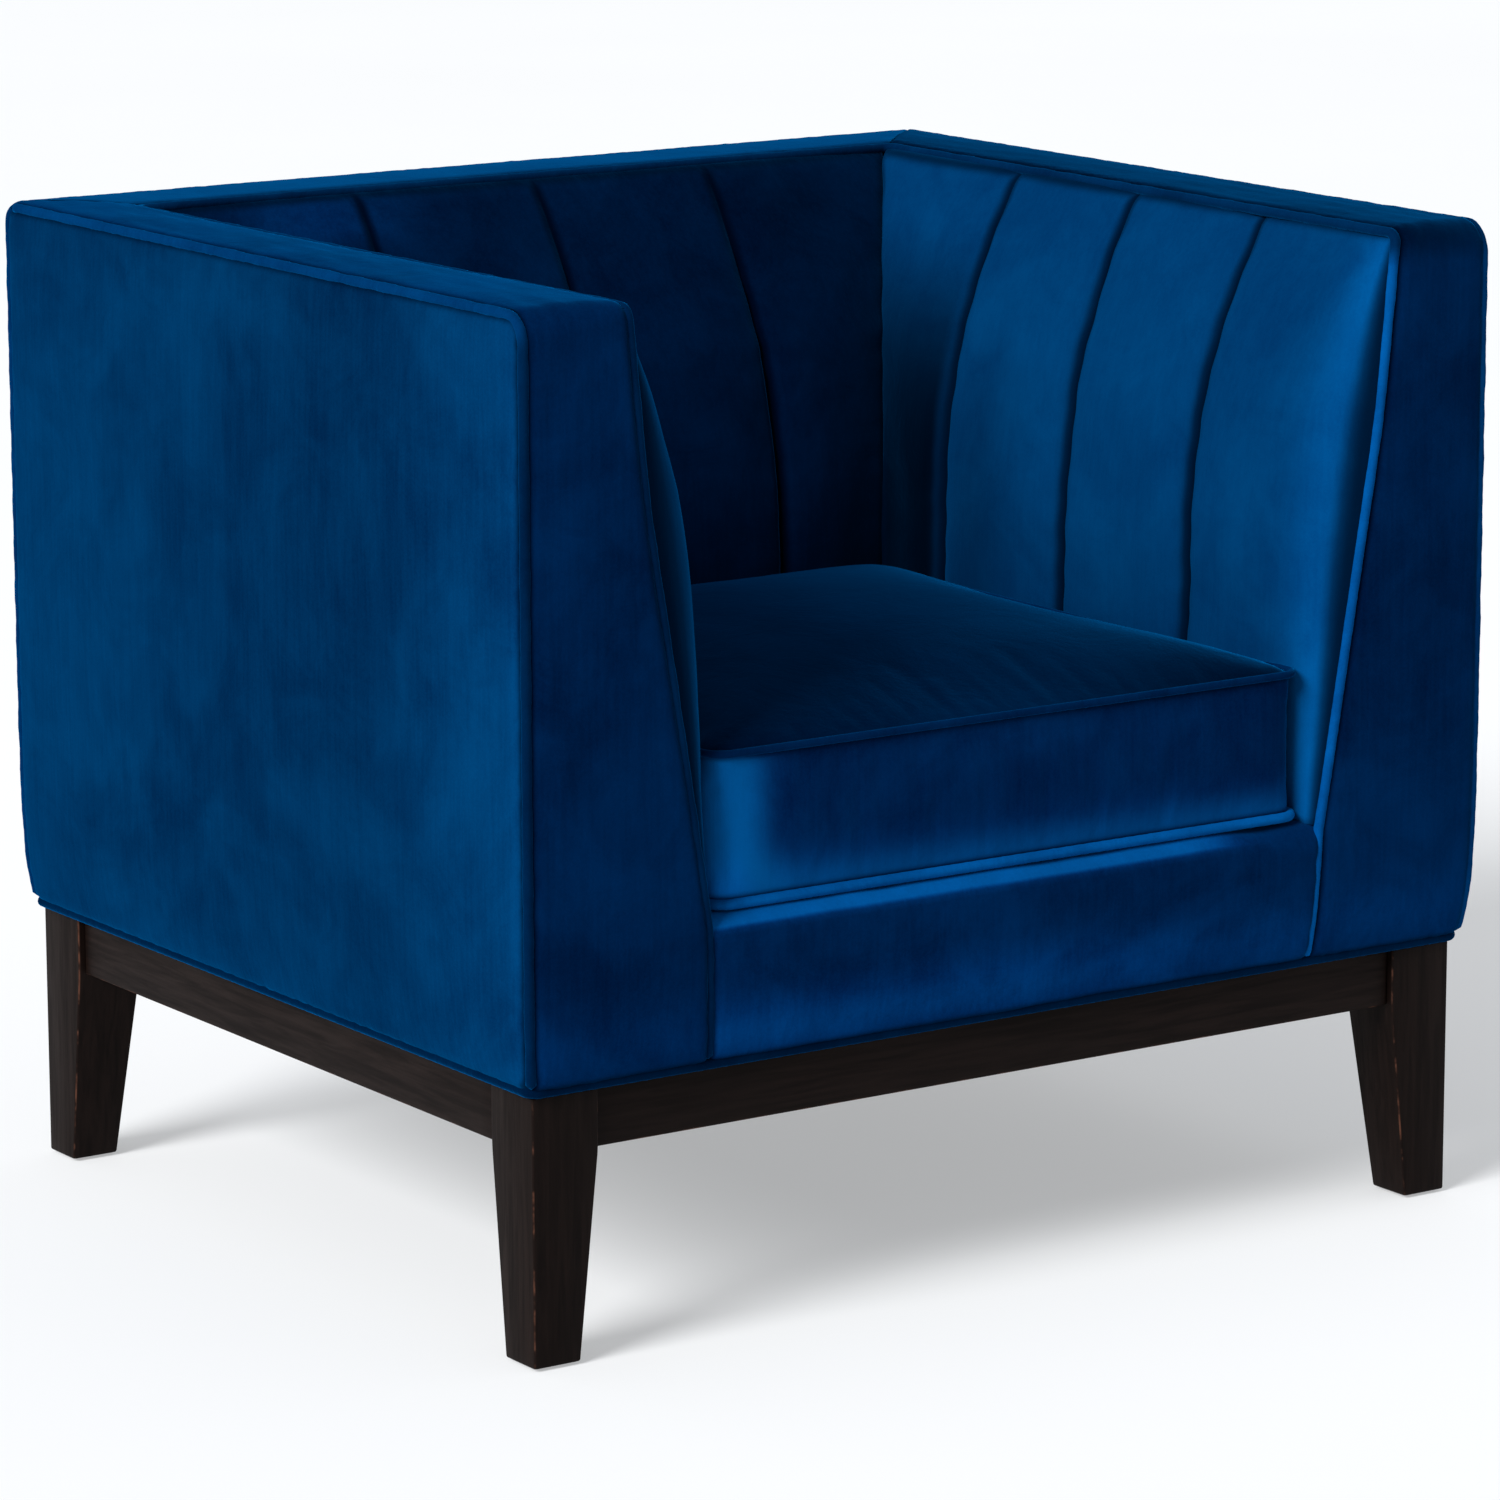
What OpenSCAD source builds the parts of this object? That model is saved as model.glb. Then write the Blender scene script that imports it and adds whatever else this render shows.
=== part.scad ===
// A square club armchair: wooden base, sprung and upholstered box, loose seat cushion.
// Millimetres. +Z up, the front faces -Y, the origin is on the floor under the middle.

/* [Overall] */
// Width over the arms
chair_w = 834; // [760:1:1001]
// Depth from the front of the arms to the outside back
chair_d = 722; // [640:1:860]
// Height of the arms and the back, which are level
chair_h = 740; // [680:1:900]

/* [Wooden base] */
// Height of the top of the wooden base
base_h = 196; // [160:1:230]
// Side of a leg at its square top
leg_top_w = 54; // [46:1:65]
// Side of a leg at the foot
leg_foot_w = 38; // [28:1:44]
// Set-back of a leg's outer faces from the upholstery
leg_inset = 10; // [3:1:14]
// Height of an apron
apron_h = 44; // [38:1:56]
// Thickness of an apron
apron_t = 20; // [16:1:26]
// Set-back of an apron's face from the legs' outer faces
apron_setback = 5; // [2:1:9]
// Diameter of a nail-on glide
glide_d = 22; // [16:1:26]
// Thickness of a glide's head
glide_t = 2; // [1.5:0.5:4]
// Diameter of the bolt that holds a leg to its corner block
bolt_d = 8; // [6:1:10]
// Diameter of a screw that holds the base to the seat frame
screw_d = 4.5; // [3.5:0.5:6]

/* [Inner frame] */
// Side of the square posts and top rails
lumber = 45; // [36:1:54]
// Height of a seat rail
seat_rail_h = 80; // [64:1:84]
// Thickness of a seat rail
seat_rail_t = 35; // [28:1:40]
// Height of a tacking rail
tack_rail_h = 40; // [30:1:50]
// Thickness of a tacking rail
tack_rail_t = 25; // [18:1:30]
// Thickness of the boards behind the front covers
front_board_t = 18; // [15:1:22]

/* [Upholstery] */
// Thickness of the padded covers on the outside faces
cover_t = 10; // [9:1:14]
// Thickness of the padded covers on the front and the top
face_t = 12; // [10:1:16]
// Width of an arm's top
arm_top_w = 76; // [74:1:96]
// Width of an arm's front face at the seat
arm_seat_w = 151; // [130:1:170]
// Depth of the back's top
back_top_w = 76; // [74:1:96]
// How far the inside of an arm stands in at the seat, from its top edge
arm_swell = 83; // [60:1:96]
// How far the inside back stands forward at the seat, from its top edge
back_swell = 122; // [90:1:140]
// Width of a sewn channel on the inside of an arm
arm_channel_w = 155; // [110:1:190]
// Width of a sewn channel on the inside back
back_channel_w = 160; // [110:1:190]
// How far a channel swells between its seams
channel_crown = 12; // [4:1:14]
// Diameter of the piping
welt_d = 7.5; // [5:0.5:9]
// Diameter of the piping round the bottom edge
base_welt_d = 8.5; // [6:0.5:9]

/* [Seat] */
// Height of the deck that the cushion rests on
deck_h = 300; // [285:1:330]
// Height of the cushion's side, between its seams
cushion_side_h = 107; // [90:1:140]
// How far the cushion's top crowns above its seam
cushion_crown = 24; // [10:1:30]
// Radius of the cushion's corners, seen from above
cushion_corner_r = 14; // [10:1:30]
// How far the cushion's front sits back from the arms' front
cushion_setback = 14; // [10:1:30]
// Thickness of the cushion's sewn cover
cushion_cloth_t = 2; // [1.5:0.5:3]
// Number of serpentine springs
spring_count = 5; // [4:1:6]
// Diameter of the spring wire
spring_wire = 4; // [3:0.5:4.5]
// Length of the zip in the cushion's rear side
zip_l = 440; // [300:1:450]

/* [Hidden] */

$fn = 48;
SLACK = 0.3;            // gap between pieces that lie against each other
BORE_SLACK = 0.2;       // a bore is this much wider than its screw, bolt or nail
LEFT = -1;
RIGHT = 1;
FRONT = -1;
REAR = 1;
SIDES = [LEFT, RIGHT];
ENDS = [FRONT, REAR];

VELVET = "#003463";
VELVET_DARK = "#00224a";
ESPRESSO = "#211a18";
BEECH = "#c9a877";
STEEL = "#9a9da0";
FOAM = "#e8e0c4";
JUTE = "#8f7a55";
BLACK = "#1b1b1d";

half_w = chair_w / 2;
half_d = chair_d / 2;

// Inner frame
frame_x = half_w - cover_t;             // outer face of the frame, under the side cover
frame_y = half_d - cover_t;             // rear face of the frame
front_y = -half_d + face_t;             // front face of the boards
board_back_y = front_y + front_board_t;
post_x = frame_x - lumber;              // inner face of the posts
back_post_y = frame_y - lumber;         // front face of the back posts
post_top = chair_h - face_t;            // top of the frame
dust_t = 2;
frame_z = base_h + dust_t;              // underside of the frame
tack_rail_gap = 12;                     // from the deck up to the tacking rails
tack_rail_z = deck_h + tack_rail_gap;
block_l = 60;                           // leg of a triangular corner block

// Upholstery
arm_in_x = half_w - arm_top_w;          // inner top edge of an arm
back_in_y = half_d - back_top_w;        // inner top edge of the back
face_in_x = half_w - arm_seat_w;        // inner edge of an arm's front face, at the seat
web_t = 1.5;
pad_back_x = post_x - web_t - SLACK;    // backs of the inside pads
pad_back_y = back_post_y - web_t - SLACK;
pad_top = post_top - 1;
pad_bottom = deck_h + 4;
welt_r = welt_d / 2;
welt_in = welt_r + SLACK;               // middle of a piping cord, in from the edge it follows
welt_room = welt_d + 2 * SLACK;         // the notch that a cord lies in
base_welt_in = base_welt_d / 2;
cover_z = base_h + base_welt_d + SLACK; // lower edge of the outside covers
corner_r = 12;                          // outline corners of the outside covers
elbow_r = 9;                            // bend of the piping at a corner
nose_l = 30;                            // depth of the rounding behind an arm's front edge

// Seat
deck_pad_t = 10;
deck_cloth_t = 2;
deck_gap = 0.8;                         // room under the resting cushion
seam_rise = 8;                          // height of the lower seam above the cushion's underside
cushion_z = deck_h + deck_gap;
seam_low = cushion_z + seam_rise;
seam_high = seam_low + cushion_side_h;
welt_out = (welt_r + SLACK) / sqrt(2);   // the cord lies just outside its seam, on the diagonal
cushion_clear = 0.6;                    // gap from the piping to the inside pads
cushion_x = half_w - arm_top_w - arm_swell - cushion_clear - welt_r - welt_out;
cushion_front = -half_d + cushion_setback;
cushion_rear = back_in_y - back_swell - cushion_clear - welt_r - welt_out;
spring_lift = 4;                        // from the rails up to a spring's middle line
spring_z = frame_z + seat_rail_h + spring_lift;
zip_t = 1.2;
zip_z = (seam_low + seam_high) / 2;

// Curve of the inside pads: 0 at the top edge, 1 from the seat down.
flat_z = seam_high + 3;                 // the pads stand upright up to here
function swell(z, power) = sin(90 * pow(min(1, max(0, (chair_h - z) / (chair_h - flat_z))), power));
function arm_x(z) = arm_in_x - arm_swell * swell(z, 0.86);
function back_y(z) = back_in_y - back_swell * swell(z, 0.92);
// The channels are flat where the cushion presses on them and swell above it.
crown_from = 35;                        // height above the cushion's seam where they begin to swell
crown_over = 150;                       // height over which they reach their full swell
function crown_at(z) = channel_crown * min(1, max(0, (z - flat_z - crown_from) / crown_over));
// Inner edge of an arm's front face
function face_x(z) = face_in_x + (arm_in_x - face_in_x) * max(0, z - deck_h) / (chair_h - deck_h);
// The arm and back pads meet on an upright plane, straight in plan, from the inner top
// corner to the inner corner at the seat.
mitre_in = 6;                           // the plane's start, behind the inner top corner
mitre_drop = 12;                        // its end, behind the inner corner at the seat
mitre_slope = (back_swell - mitre_drop + mitre_in) / arm_swell;
function mitre_y(x) = back_in_y + mitre_in - (arm_in_x - x) * mitre_slope;
function mitre_x(y) = arm_in_x - (back_in_y + mitre_in - y) / mitre_slope;

// Channel edges along an arm and across the back, at height z. The last channel takes what
// is left, if that is at least this share of a channel.
least_channel = 0.25;
function arm_edges(z) =
    let (room = mitre_y(arm_x(0)) + half_d)
    let (count = floor((room - least_channel * arm_channel_w) / arm_channel_w))
    [front_y, for (k = [1:count]) -half_d + k * arm_channel_w, mitre_y(arm_x(z)) - SLACK];
function back_edges(z) =
    let (count = floor((arm_x(0) - least_channel * back_channel_w) / back_channel_w))
    [-arm_x(z), for (k = [-count:count]) k * back_channel_w, arm_x(z)];
// Half-ellipse across a channel: 0 at its seams, 1 in the middle
function across(u, edges) =
    let (k = max([for (i = [0:len(edges) - 2]) if (u >= edges[i] - 0.001) i]))
    let (s = (u - edges[k]) / (edges[k + 1] - edges[k]))
    2 * sqrt(max(0, s * (1 - s)));
// Places along the edges, close together near each seam, from start on
function stations(edges, start, steps) = [
    for (k = [0:len(edges) - 2])
        let (a = max(start, edges[k]))
        for (i = [(k == 0 ? 0 : 1):steps]) a + (edges[k + 1] - a) * (1 - cos(180 * i / steps)) / 2
];
function front_ease(y) = let (t = min(1, (y + half_d) / nose_l)) sqrt(1 - (1 - t) * (1 - t));
function arm_surface(y, z) =
    face_x(z) + (arm_x(z) - face_x(z)) * front_ease(y) - crown_at(z) * across(y, arm_edges(z));
function corner_pull(x, z) = let (s = max(0, abs(x) - back_channel_w) / (arm_x(z) - back_channel_w)) s * s;
function back_surface(x, z) =
    back_y(z) + (mitre_y(arm_x(z)) + SLACK - back_y(z)) * corner_pull(x, z)
    - crown_at(z) * across(x, back_edges(z));

// ---- helpers -------------------------------------------------------------------------

// Box from two corners
module block(from, to) {
    translate(from) cube(to - from);
}

// Copies of a piece modelled at the +X, +Y corner, at all four corners
module at_corners() {
    for (sx = SIDES) for (sy = ENDS) to_corner(sx, sy) children();
}

// Mirrors a piece modelled at +X and +Y to another corner
module to_corner(sx, sy) {
    mirror([sx < 0 ? 1 : 0, 0, 0]) mirror([0, sy < 0 ? 1 : 0, 0]) children();
}

// Mirrors a piece modelled at +X to the left or the right
module on_side(s) {
    mirror([s < 0 ? 1 : 0, 0, 0]) children();
}

// Rectangle with round corners, from two corners
module round_rect(from, to, r) {
    translate([from.x + r, from.y]) square([to.x - from.x - 2 * r, to.y - from.y]);
    translate([from.x, from.y + r]) square([to.x - from.x, to.y - from.y - 2 * r]);
    for (x = [from.x + r, to.x - r]) for (y = [from.y + r, to.y - r]) translate([x, y]) circle(r);
}

// Closed solid between two grids of points, each a list of columns
module between(front, back) {
    cols = len(front);
    rows = len(front[0]);
    points = concat([for (c = front) each c], [for (c = back) each c]);
    far = cols * rows;
    function quad(a, b, c, d) = [[a, b, c], [a, c, d]];
    faces = [
        for (i = [0:cols - 2]) for (j = [0:rows - 2]) let (a = i * rows + j)
            each quad(a, a + 1, a + rows + 1, a + rows),
        for (i = [0:cols - 2]) for (j = [0:rows - 2]) let (a = far + i * rows + j)
            each quad(a + rows, a + rows + 1, a + 1, a),
        for (j = [0:rows - 2]) each quad(far + j, far + j + 1, j + 1, j),
        for (j = [0:rows - 2]) let (a = (cols - 1) * rows + j) each quad(a, a + 1, far + a + 1, far + a),
        for (i = [0:cols - 2]) let (a = i * rows) each quad(a, a + rows, far + a + rows, far + a),
        for (i = [0:cols - 2]) let (a = i * rows + rows - 1) each quad(far + a, far + a + rows, a + rows, a),
    ];
    polyhedron(points, faces, convexity = 6);
}

function unit(v) = v / norm(v);
// Corner points with each bend rounded to radius r, in steps
function rounded(path, r, steps, closed) =
    let (n = len(path))
    [for (i = [0:n - 1])
        if (!closed && (i == 0 || i == n - 1)) path[i]
        else
            let (p = path[i], u = unit(path[(i + n - 1) % n] - p), v = unit(path[(i + 1) % n] - p))
            let (half = acos(u * v) / 2, reach = r / tan(half), mid = p + unit(u + v) * r / sin(half))
            let (a = p + u * reach - mid, turn = 180 - 2 * half, b = p + v * reach - mid)
            let (side = (b - a * cos(turn)) / sin(turn))
            for (k = [0:steps]) mid + a * cos(turn * k / steps) + side * sin(turn * k / steps)
    ];
// Round cord along a path. Each ring is square to the path, and its first spoke is
// turned as little as the bend needs from the ring before it.
function turned(n, t) = unit(n - (n * t) * t);
function tangents(path, closed) = let (n = len(path)) [for (i = [0:n - 1])
    unit(path[closed ? (i + 1) % n : min(n - 1, i + 1)] - path[closed ? (i + n - 1) % n : max(0, i - 1)])];
function spokes(tan, first) = [for (i = 0, n = turned(first, tan[0]); i < len(tan);
    i = i + 1, n = i < len(tan) ? turned(n, tan[i]) : n) n];
module cord(path, d, sides, closed = false, first = [0.31, 0.41, 0.86]) {
    tan = tangents(path, closed);
    spoke = spokes(tan, first);
    n = len(path);
    points = [for (i = [0:n - 1]) for (k = [0:sides - 1])
        let (w = cross(tan[i], spoke[i]), a = 360 * k / sides)
        path[i] + (spoke[i] * cos(a) + w * sin(a)) * d / 2];
    wall = [for (i = [0:(closed ? n - 1 : n - 2)]) for (k = [0:sides - 1])
        let (a = i * sides, b = ((i + 1) % n) * sides, m = (k + 1) % sides)
        each [[a + k, b + k, b + m], [a + k, b + m, a + m]]];
    caps = closed ? [] : [[for (k = [0:sides - 1]) k], [for (k = [sides - 1:-1:0]) (n - 1) * sides + k]];
    polyhedron(points, concat(wall, caps), convexity = 8);
}

// ---- wooden base ---------------------------------------------------------------------

leg_x = half_w - leg_inset;             // outer faces of the legs
leg_y = half_d - leg_inset;
leg_in_x = leg_x - leg_top_w;           // inner faces of the legs at the top
leg_in_y = leg_y - leg_top_w;
apron_z = base_h - apron_h;
apron_in_x = leg_x - apron_setback - apron_t;
apron_in_y = leg_y - apron_setback - apron_t;
joint_gap = 0.5;                        // shadow gap where an apron meets a leg
nail_d = 3;
nail_l = 16;
bolt_z = base_h - apron_h / 2;
bolt_in_leg = 34;
bolt_out = 15;                          // bolt end beyond the corner block, for washer and nut
block_h = 30;
block_z = base_h - block_h;
screw_up = 30;                          // screw length in the seat rail
// The bolt leaves a corner block here, measured along it from the leg's inner edge
bolt_face = (block_l - (apron_in_x - leg_in_x)) / sqrt(2);

// Puts a piece on a bolt's line at the +X, +Y corner: its origin at the leg's inner edge,
// its +Z pointing diagonally into the chair
module on_bolt_line() {
    translate([leg_in_x, leg_in_y, bolt_z]) rotate([0, 0, 225]) rotate([0, 90, 0]) children();
}

module leg_wood(sx, sy) {
    foot_mid = [leg_x - leg_foot_w / 2, leg_y - leg_foot_w / 2, glide_t];
    color(ESPRESSO) to_corner(sx, sy) difference() {
        union() {
            block([leg_in_x, leg_in_y, apron_z], [leg_x, leg_y, base_h]);
            hull() {
                block([leg_in_x, leg_in_y, apron_z], [leg_x, leg_y, apron_z + 1]);
                block([leg_x - leg_foot_w, leg_y - leg_foot_w, glide_t], [leg_x, leg_y, glide_t + 1]);
            }
        }
        translate(foot_mid - [0, 0, 1]) cylinder(h = nail_l + 2, d = nail_d + BORE_SLACK);
        on_bolt_line() translate([0, 0, -bolt_in_leg])
            cylinder(h = bolt_in_leg + bolt_out, d = bolt_d + BORE_SLACK);
    }
}

module leg_front_left() { leg_wood(LEFT, FRONT); }
module leg_front_right() { leg_wood(RIGHT, FRONT); }
module leg_rear_left() { leg_wood(LEFT, REAR); }
module leg_rear_right() { leg_wood(RIGHT, REAR); }

module long_apron(sy) {
    reach = leg_in_x - joint_gap;
    color(ESPRESSO) to_corner(RIGHT, sy)
        block([-reach, apron_in_y, apron_z], [reach, apron_in_y + apron_t, base_h]);
}

module side_apron(sx) {
    reach = leg_in_y - joint_gap;
    color(ESPRESSO) on_side(sx)
        block([apron_in_x, -reach, apron_z], [apron_in_x + apron_t, reach, base_h]);
}

module apron_front() { long_apron(FRONT); }
module apron_rear() { long_apron(REAR); }
module apron_left() { side_apron(LEFT); }
module apron_right() { side_apron(RIGHT); }

// Screw places on a corner block, one under each seat rail, next to the apron
screw_off = 35;
function screw_places() = [
    [(side_rail_x + apron_in_x) / 2, leg_in_y - screw_off],
    [leg_in_x - screw_off, (rear_rail_y + apron_in_y) / 2],
];

// Triangular block that fills the corner behind a leg, between two aprons
module corner_blocks() {
    color(BEECH) at_corners() difference() {
        translate([0, 0, block_z]) linear_extrude(block_h) polygon([
            [apron_in_x, leg_in_y - block_l],
            [apron_in_x, leg_in_y],
            [leg_in_x, leg_in_y],
            [leg_in_x, apron_in_y],
            [leg_in_x - block_l, apron_in_y],
        ]);
        on_bolt_line() translate([0, 0, -10]) cylinder(h = block_l, d = bolt_d + BORE_SLACK);
        for (p = screw_places()) translate([p.x, p.y, block_z - 1])
            cylinder(h = block_h + 2, d = screw_d + BORE_SLACK);
    }
}

module glides() {
    color(BLACK) at_corners() translate([leg_x - leg_foot_w / 2, leg_y - leg_foot_w / 2, 0]) {
        cylinder(h = glide_t, d = glide_d);
        translate([0, 0, glide_t - 0.5]) cylinder(h = nail_l, d = nail_d);
    }
}

module leg_bolts() {
    washer_t = 1.5;
    nut_t = 0.8 * bolt_d;
    bolt_tip = 1;                       // room at the blind end of the leg's bore
    color(STEEL) at_corners() on_bolt_line() {
        translate([0, 0, bolt_tip - bolt_in_leg])
            cylinder(h = bolt_in_leg - bolt_tip + bolt_face + bolt_out, d = bolt_d);
        translate([0, 0, bolt_face]) cylinder(h = washer_t, d = 2.2 * bolt_d);
        translate([0, 0, bolt_face + washer_t]) cylinder(h = nut_t, d = 1.9 * bolt_d, $fn = 6);
    }
}

module base_screws() {
    head_t = 3;
    color(STEEL) at_corners() for (p = screw_places()) translate([p.x, p.y, block_z - head_t]) {
        cylinder(h = head_t, d = 2 * screw_d);
        cylinder(h = head_t + block_h + dust_t + screw_up, d = screw_d);
    }
}

// Black cloth under the seat, between the base and the frame, with holes for the screws
module dust_cover() {
    edge = base_welt_d + 2;             // clear of the piping's bends
    color(BLACK) difference() {
        block([edge - half_w, edge - half_d, base_h], [half_w - edge, half_d - edge, frame_z]);
        at_corners() for (p = screw_places()) translate([p.x, p.y, base_h - 1])
            cylinder(h = dust_t + 2, d = screw_d + BORE_SLACK);
    }
}

// ---- inner frame ---------------------------------------------------------------------

rail_top = frame_z + seat_rail_h;
rear_rail_y = frame_y - seat_rail_t;    // front face of the rear seat rail
side_rail_x = frame_x - seat_rail_t;    // inner face of a side seat rail
post_back_y = board_back_y + lumber;    // rear face of a front post

// Screw holes in the underside of the frame
module screw_holes() {
    at_corners() for (p = screw_places()) translate([p.x, p.y, frame_z - 1])
        cylinder(h = screw_up + 2, d = screw_d + BORE_SLACK);
}

module seat_rail_front() {
    color(BEECH) difference() {
        block([-post_x, board_back_y, frame_z], [post_x, board_back_y + seat_rail_t, rail_top]);
        screw_holes();
    }
}

module seat_rail_rear() {
    color(BEECH) difference() {
        block([-post_x, rear_rail_y, frame_z], [post_x, frame_y, rail_top]);
        screw_holes();
    }
}

module seat_rail_side(s) {
    color(BEECH) on_side(s) difference() {
        block([side_rail_x, post_back_y, frame_z], [frame_x, back_post_y, rail_top]);
        screw_holes();
    }
}

module seat_rail_left() { seat_rail_side(LEFT); }
module seat_rail_right() { seat_rail_side(RIGHT); }

// Triangular blocks glued in the seat frame's corners, above the screws
module seat_corner_blocks() {
    leg_l = 70;
    low = frame_z + screw_up + 10;
    color(BEECH) for (s = SIDES) on_side(s) {
        translate([0, 0, low]) linear_extrude(rail_top - low) polygon([
            [post_x, board_back_y + seat_rail_t],
            [post_x, post_back_y],
            [side_rail_x, post_back_y],
            [side_rail_x, post_back_y + leg_l],
            [post_x - leg_l, board_back_y + seat_rail_t],
        ]);
        translate([0, 0, low]) linear_extrude(rail_top - low) polygon([
            [side_rail_x, back_post_y],
            [side_rail_x, back_post_y - leg_l],
            [post_x - leg_l, rear_rail_y],
            [post_x, rear_rail_y],
            [post_x, back_post_y],
        ]);
    }
}

board_in = 6;                           // the boards stop this far short of the covers' edges
front_flap_t = 3.5;                     // cover over the top of the front rail

module front_rail_board() {
    reach = face_in_x + board_in - SLACK;
    color(BEECH) block([-reach, front_y, frame_z], [reach, board_back_y, deck_h - front_flap_t]);
}

// Outline of an arm's front face, seen from the front, with its inner edge moved out
module arm_face(from_z, to_z, outer_x, inset) {
    polygon([
        [face_x(from_z) + inset, from_z],
        [outer_x, from_z],
        [outer_x, to_z],
        [face_x(to_z) + inset, to_z],
        [face_in_x + inset, deck_h],
    ]);
}

// Extrudes an outline drawn in X and Z back from y_from to y_to
module back_from(y_from, y_to) {
    translate([0, y_to, 0]) rotate([90, 0, 0]) linear_extrude(y_to - y_from) children();
}

module arm_board(s) {
    color(BEECH) on_side(s) back_from(front_y, board_back_y) arm_face(frame_z, post_top, frame_x, board_in);
}

module arm_board_left() { arm_board(LEFT); }
module arm_board_right() { arm_board(RIGHT); }

module front_post(s) {
    color(BEECH) on_side(s)
        block([post_x, board_back_y, frame_z], [frame_x, post_back_y, post_top - lumber]);
}

module back_post(s) {
    color(BEECH) on_side(s) block([post_x, back_post_y, frame_z], [frame_x, frame_y, post_top]);
}

module arm_top_rail(s) {
    color(BEECH) on_side(s)
        block([post_x, board_back_y, post_top - lumber], [frame_x, back_post_y, post_top]);
}

module arm_tack_rail(s) {
    color(BEECH) on_side(s) block(
        [post_x, post_back_y, tack_rail_z],
        [post_x + tack_rail_t, back_post_y, tack_rail_z + tack_rail_h]
    );
}

module front_post_left() { front_post(LEFT); }
module front_post_right() { front_post(RIGHT); }
module back_post_left() { back_post(LEFT); }
module back_post_right() { back_post(RIGHT); }
module arm_top_rail_left() { arm_top_rail(LEFT); }
module arm_top_rail_right() { arm_top_rail(RIGHT); }
module arm_tack_rail_left() { arm_tack_rail(LEFT); }
module arm_tack_rail_right() { arm_tack_rail(RIGHT); }

module back_top_rail() {
    color(BEECH) block([-post_x, back_post_y, post_top - lumber], [post_x, frame_y, post_top]);
}

module back_tack_rail() {
    color(BEECH) block(
        [-post_x, back_post_y, tack_rail_z],
        [post_x, back_post_y + tack_rail_t, tack_rail_z + tack_rail_h]
    );
}

// ---- seat springs --------------------------------------------------------------------

spring_pitch = 48;                      // length of one wave
spring_reach = 21;                      // half width of the wave
spring_arch = 3;                        // rise of the middle of a spring
spring_end = 22;                        // straight end, held by a clip
clip_w = 14;
clip_h = 8;
spring_end_gap = 4;                     // from a spring's end to the board or the cover
spring_side_gap = 75;                   // from the arm posts in to the first spring
spring_from = board_back_y + spring_end_gap;
spring_to = frame_y - spring_end_gap;
spring_span = 2 * (post_x - spring_side_gap);   // from the first spring to the last
wave_count = floor((spring_to - spring_from - 2 * spring_end) / spring_pitch);
wave_l = (spring_to - spring_from - 2 * spring_end) / wave_count;
wave_from = spring_from + spring_end;
wave_steps = 6;

function spring_x(i) = spring_span * (i / (spring_count - 1) - 0.5);
function spring_rise(t) = spring_arch * sin(180 * t);
function spring_path(x) = concat(
    [[x, spring_from, spring_z]],
    [for (i = [0:wave_count * wave_steps]) let (t = i / (wave_count * wave_steps)) [
        x + spring_reach * sin(360 * i / wave_steps),
        wave_from + t * wave_count * wave_l,
        spring_z + spring_rise(t)
    ]],
    [[x, spring_to, spring_z]]
);

module seat_springs() {
    color(STEEL) for (i = [0:spring_count - 1]) cord(spring_path(spring_x(i)), spring_wire, 6);
}

// A clip grips each end of a spring on top of a rail
module spring_clips() {
    clip_l = 14;
    color(STEEL) for (i = [0:spring_count - 1]) for (y = [spring_from + 2, spring_to - 2 - clip_l])
        difference() {
            translate([spring_x(i) - clip_w / 2, y, rail_top]) cube([clip_w, clip_l, clip_h]);
            translate([spring_x(i), y - 1, spring_z]) rotate([-90, 0, 0])
                cylinder(h = clip_l + 2, d = spring_wire + BORE_SLACK);
        }
}

// Straight wires under the springs that tie them together
module spring_stay_wires() {
    wire = 3;
    color(STEEL) for (t = [1 / 3, 2 / 3])
        translate([
            -spring_span / 2 - spring_reach,
            wave_from + t * wave_count * wave_l,
            spring_z + spring_rise(t) - (spring_wire + wire) / 2 - SLACK
        ]) rotate([0, 90, 0]) cylinder(h = spring_span + 2 * spring_reach, d = wire);
}

// Bands of jute behind the inside pads
module webbing() {
    band = 50;
    pitch = 150;
    end_gap = 4;
    low = tack_rail_z + end_gap;
    high = post_top - end_gap;
    color(JUTE) {
        for (i = [-1.5:1.5]) translate([i * pitch, back_post_y - web_t, low])
            translate([-band / 2, 0, 0]) cube([band, web_t, high - low]);
        for (s = SIDES) on_side(s) for (i = [-1:1])
            translate([post_x - web_t, i * pitch - band / 2, low]) cube([web_t, band, high - low]);
    }
}

// ---- deck ----------------------------------------------------------------------------

deck_side_gap = 2;
deck_x = arm_in_x - arm_swell - deck_side_gap;
deck_from = board_back_y + SLACK;
deck_to = pad_back_y;
deck_pad_z = deck_h - deck_cloth_t - deck_pad_t;

module deck_pad() {
    color(FOAM) block([-deck_x, deck_from, deck_pad_z], [deck_x, deck_to, deck_h - deck_cloth_t]);
}

module deck_cover() {
    color(VELVET_DARK) block([-deck_x, deck_from, deck_h - deck_cloth_t], [deck_x, deck_to, deck_h]);
}

// ---- outside covers ------------------------------------------------------------------

module outside_arm(s) {
    from = -half_d + welt_room;
    to = half_d - welt_room;
    color(VELVET) on_side(s) translate([frame_x, 0, 0]) rotate([90, 0, 90]) linear_extrude(cover_t)
        round_rect([from, cover_z], [to, chair_h - welt_room], corner_r);
}

module outside_arm_left() { outside_arm(LEFT); }
module outside_arm_right() { outside_arm(RIGHT); }

module outside_back() {
    reach = frame_x - SLACK;
    color(VELVET) back_from(frame_y, half_d)
        round_rect([-reach, cover_z], [reach, chair_h - welt_room], corner_r);
}

module arm_front(s) {
    color(VELVET_DARK) on_side(s) back_from(-half_d, front_y)
        arm_face(cover_z, post_top - SLACK, frame_x - SLACK, welt_room);
}

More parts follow.
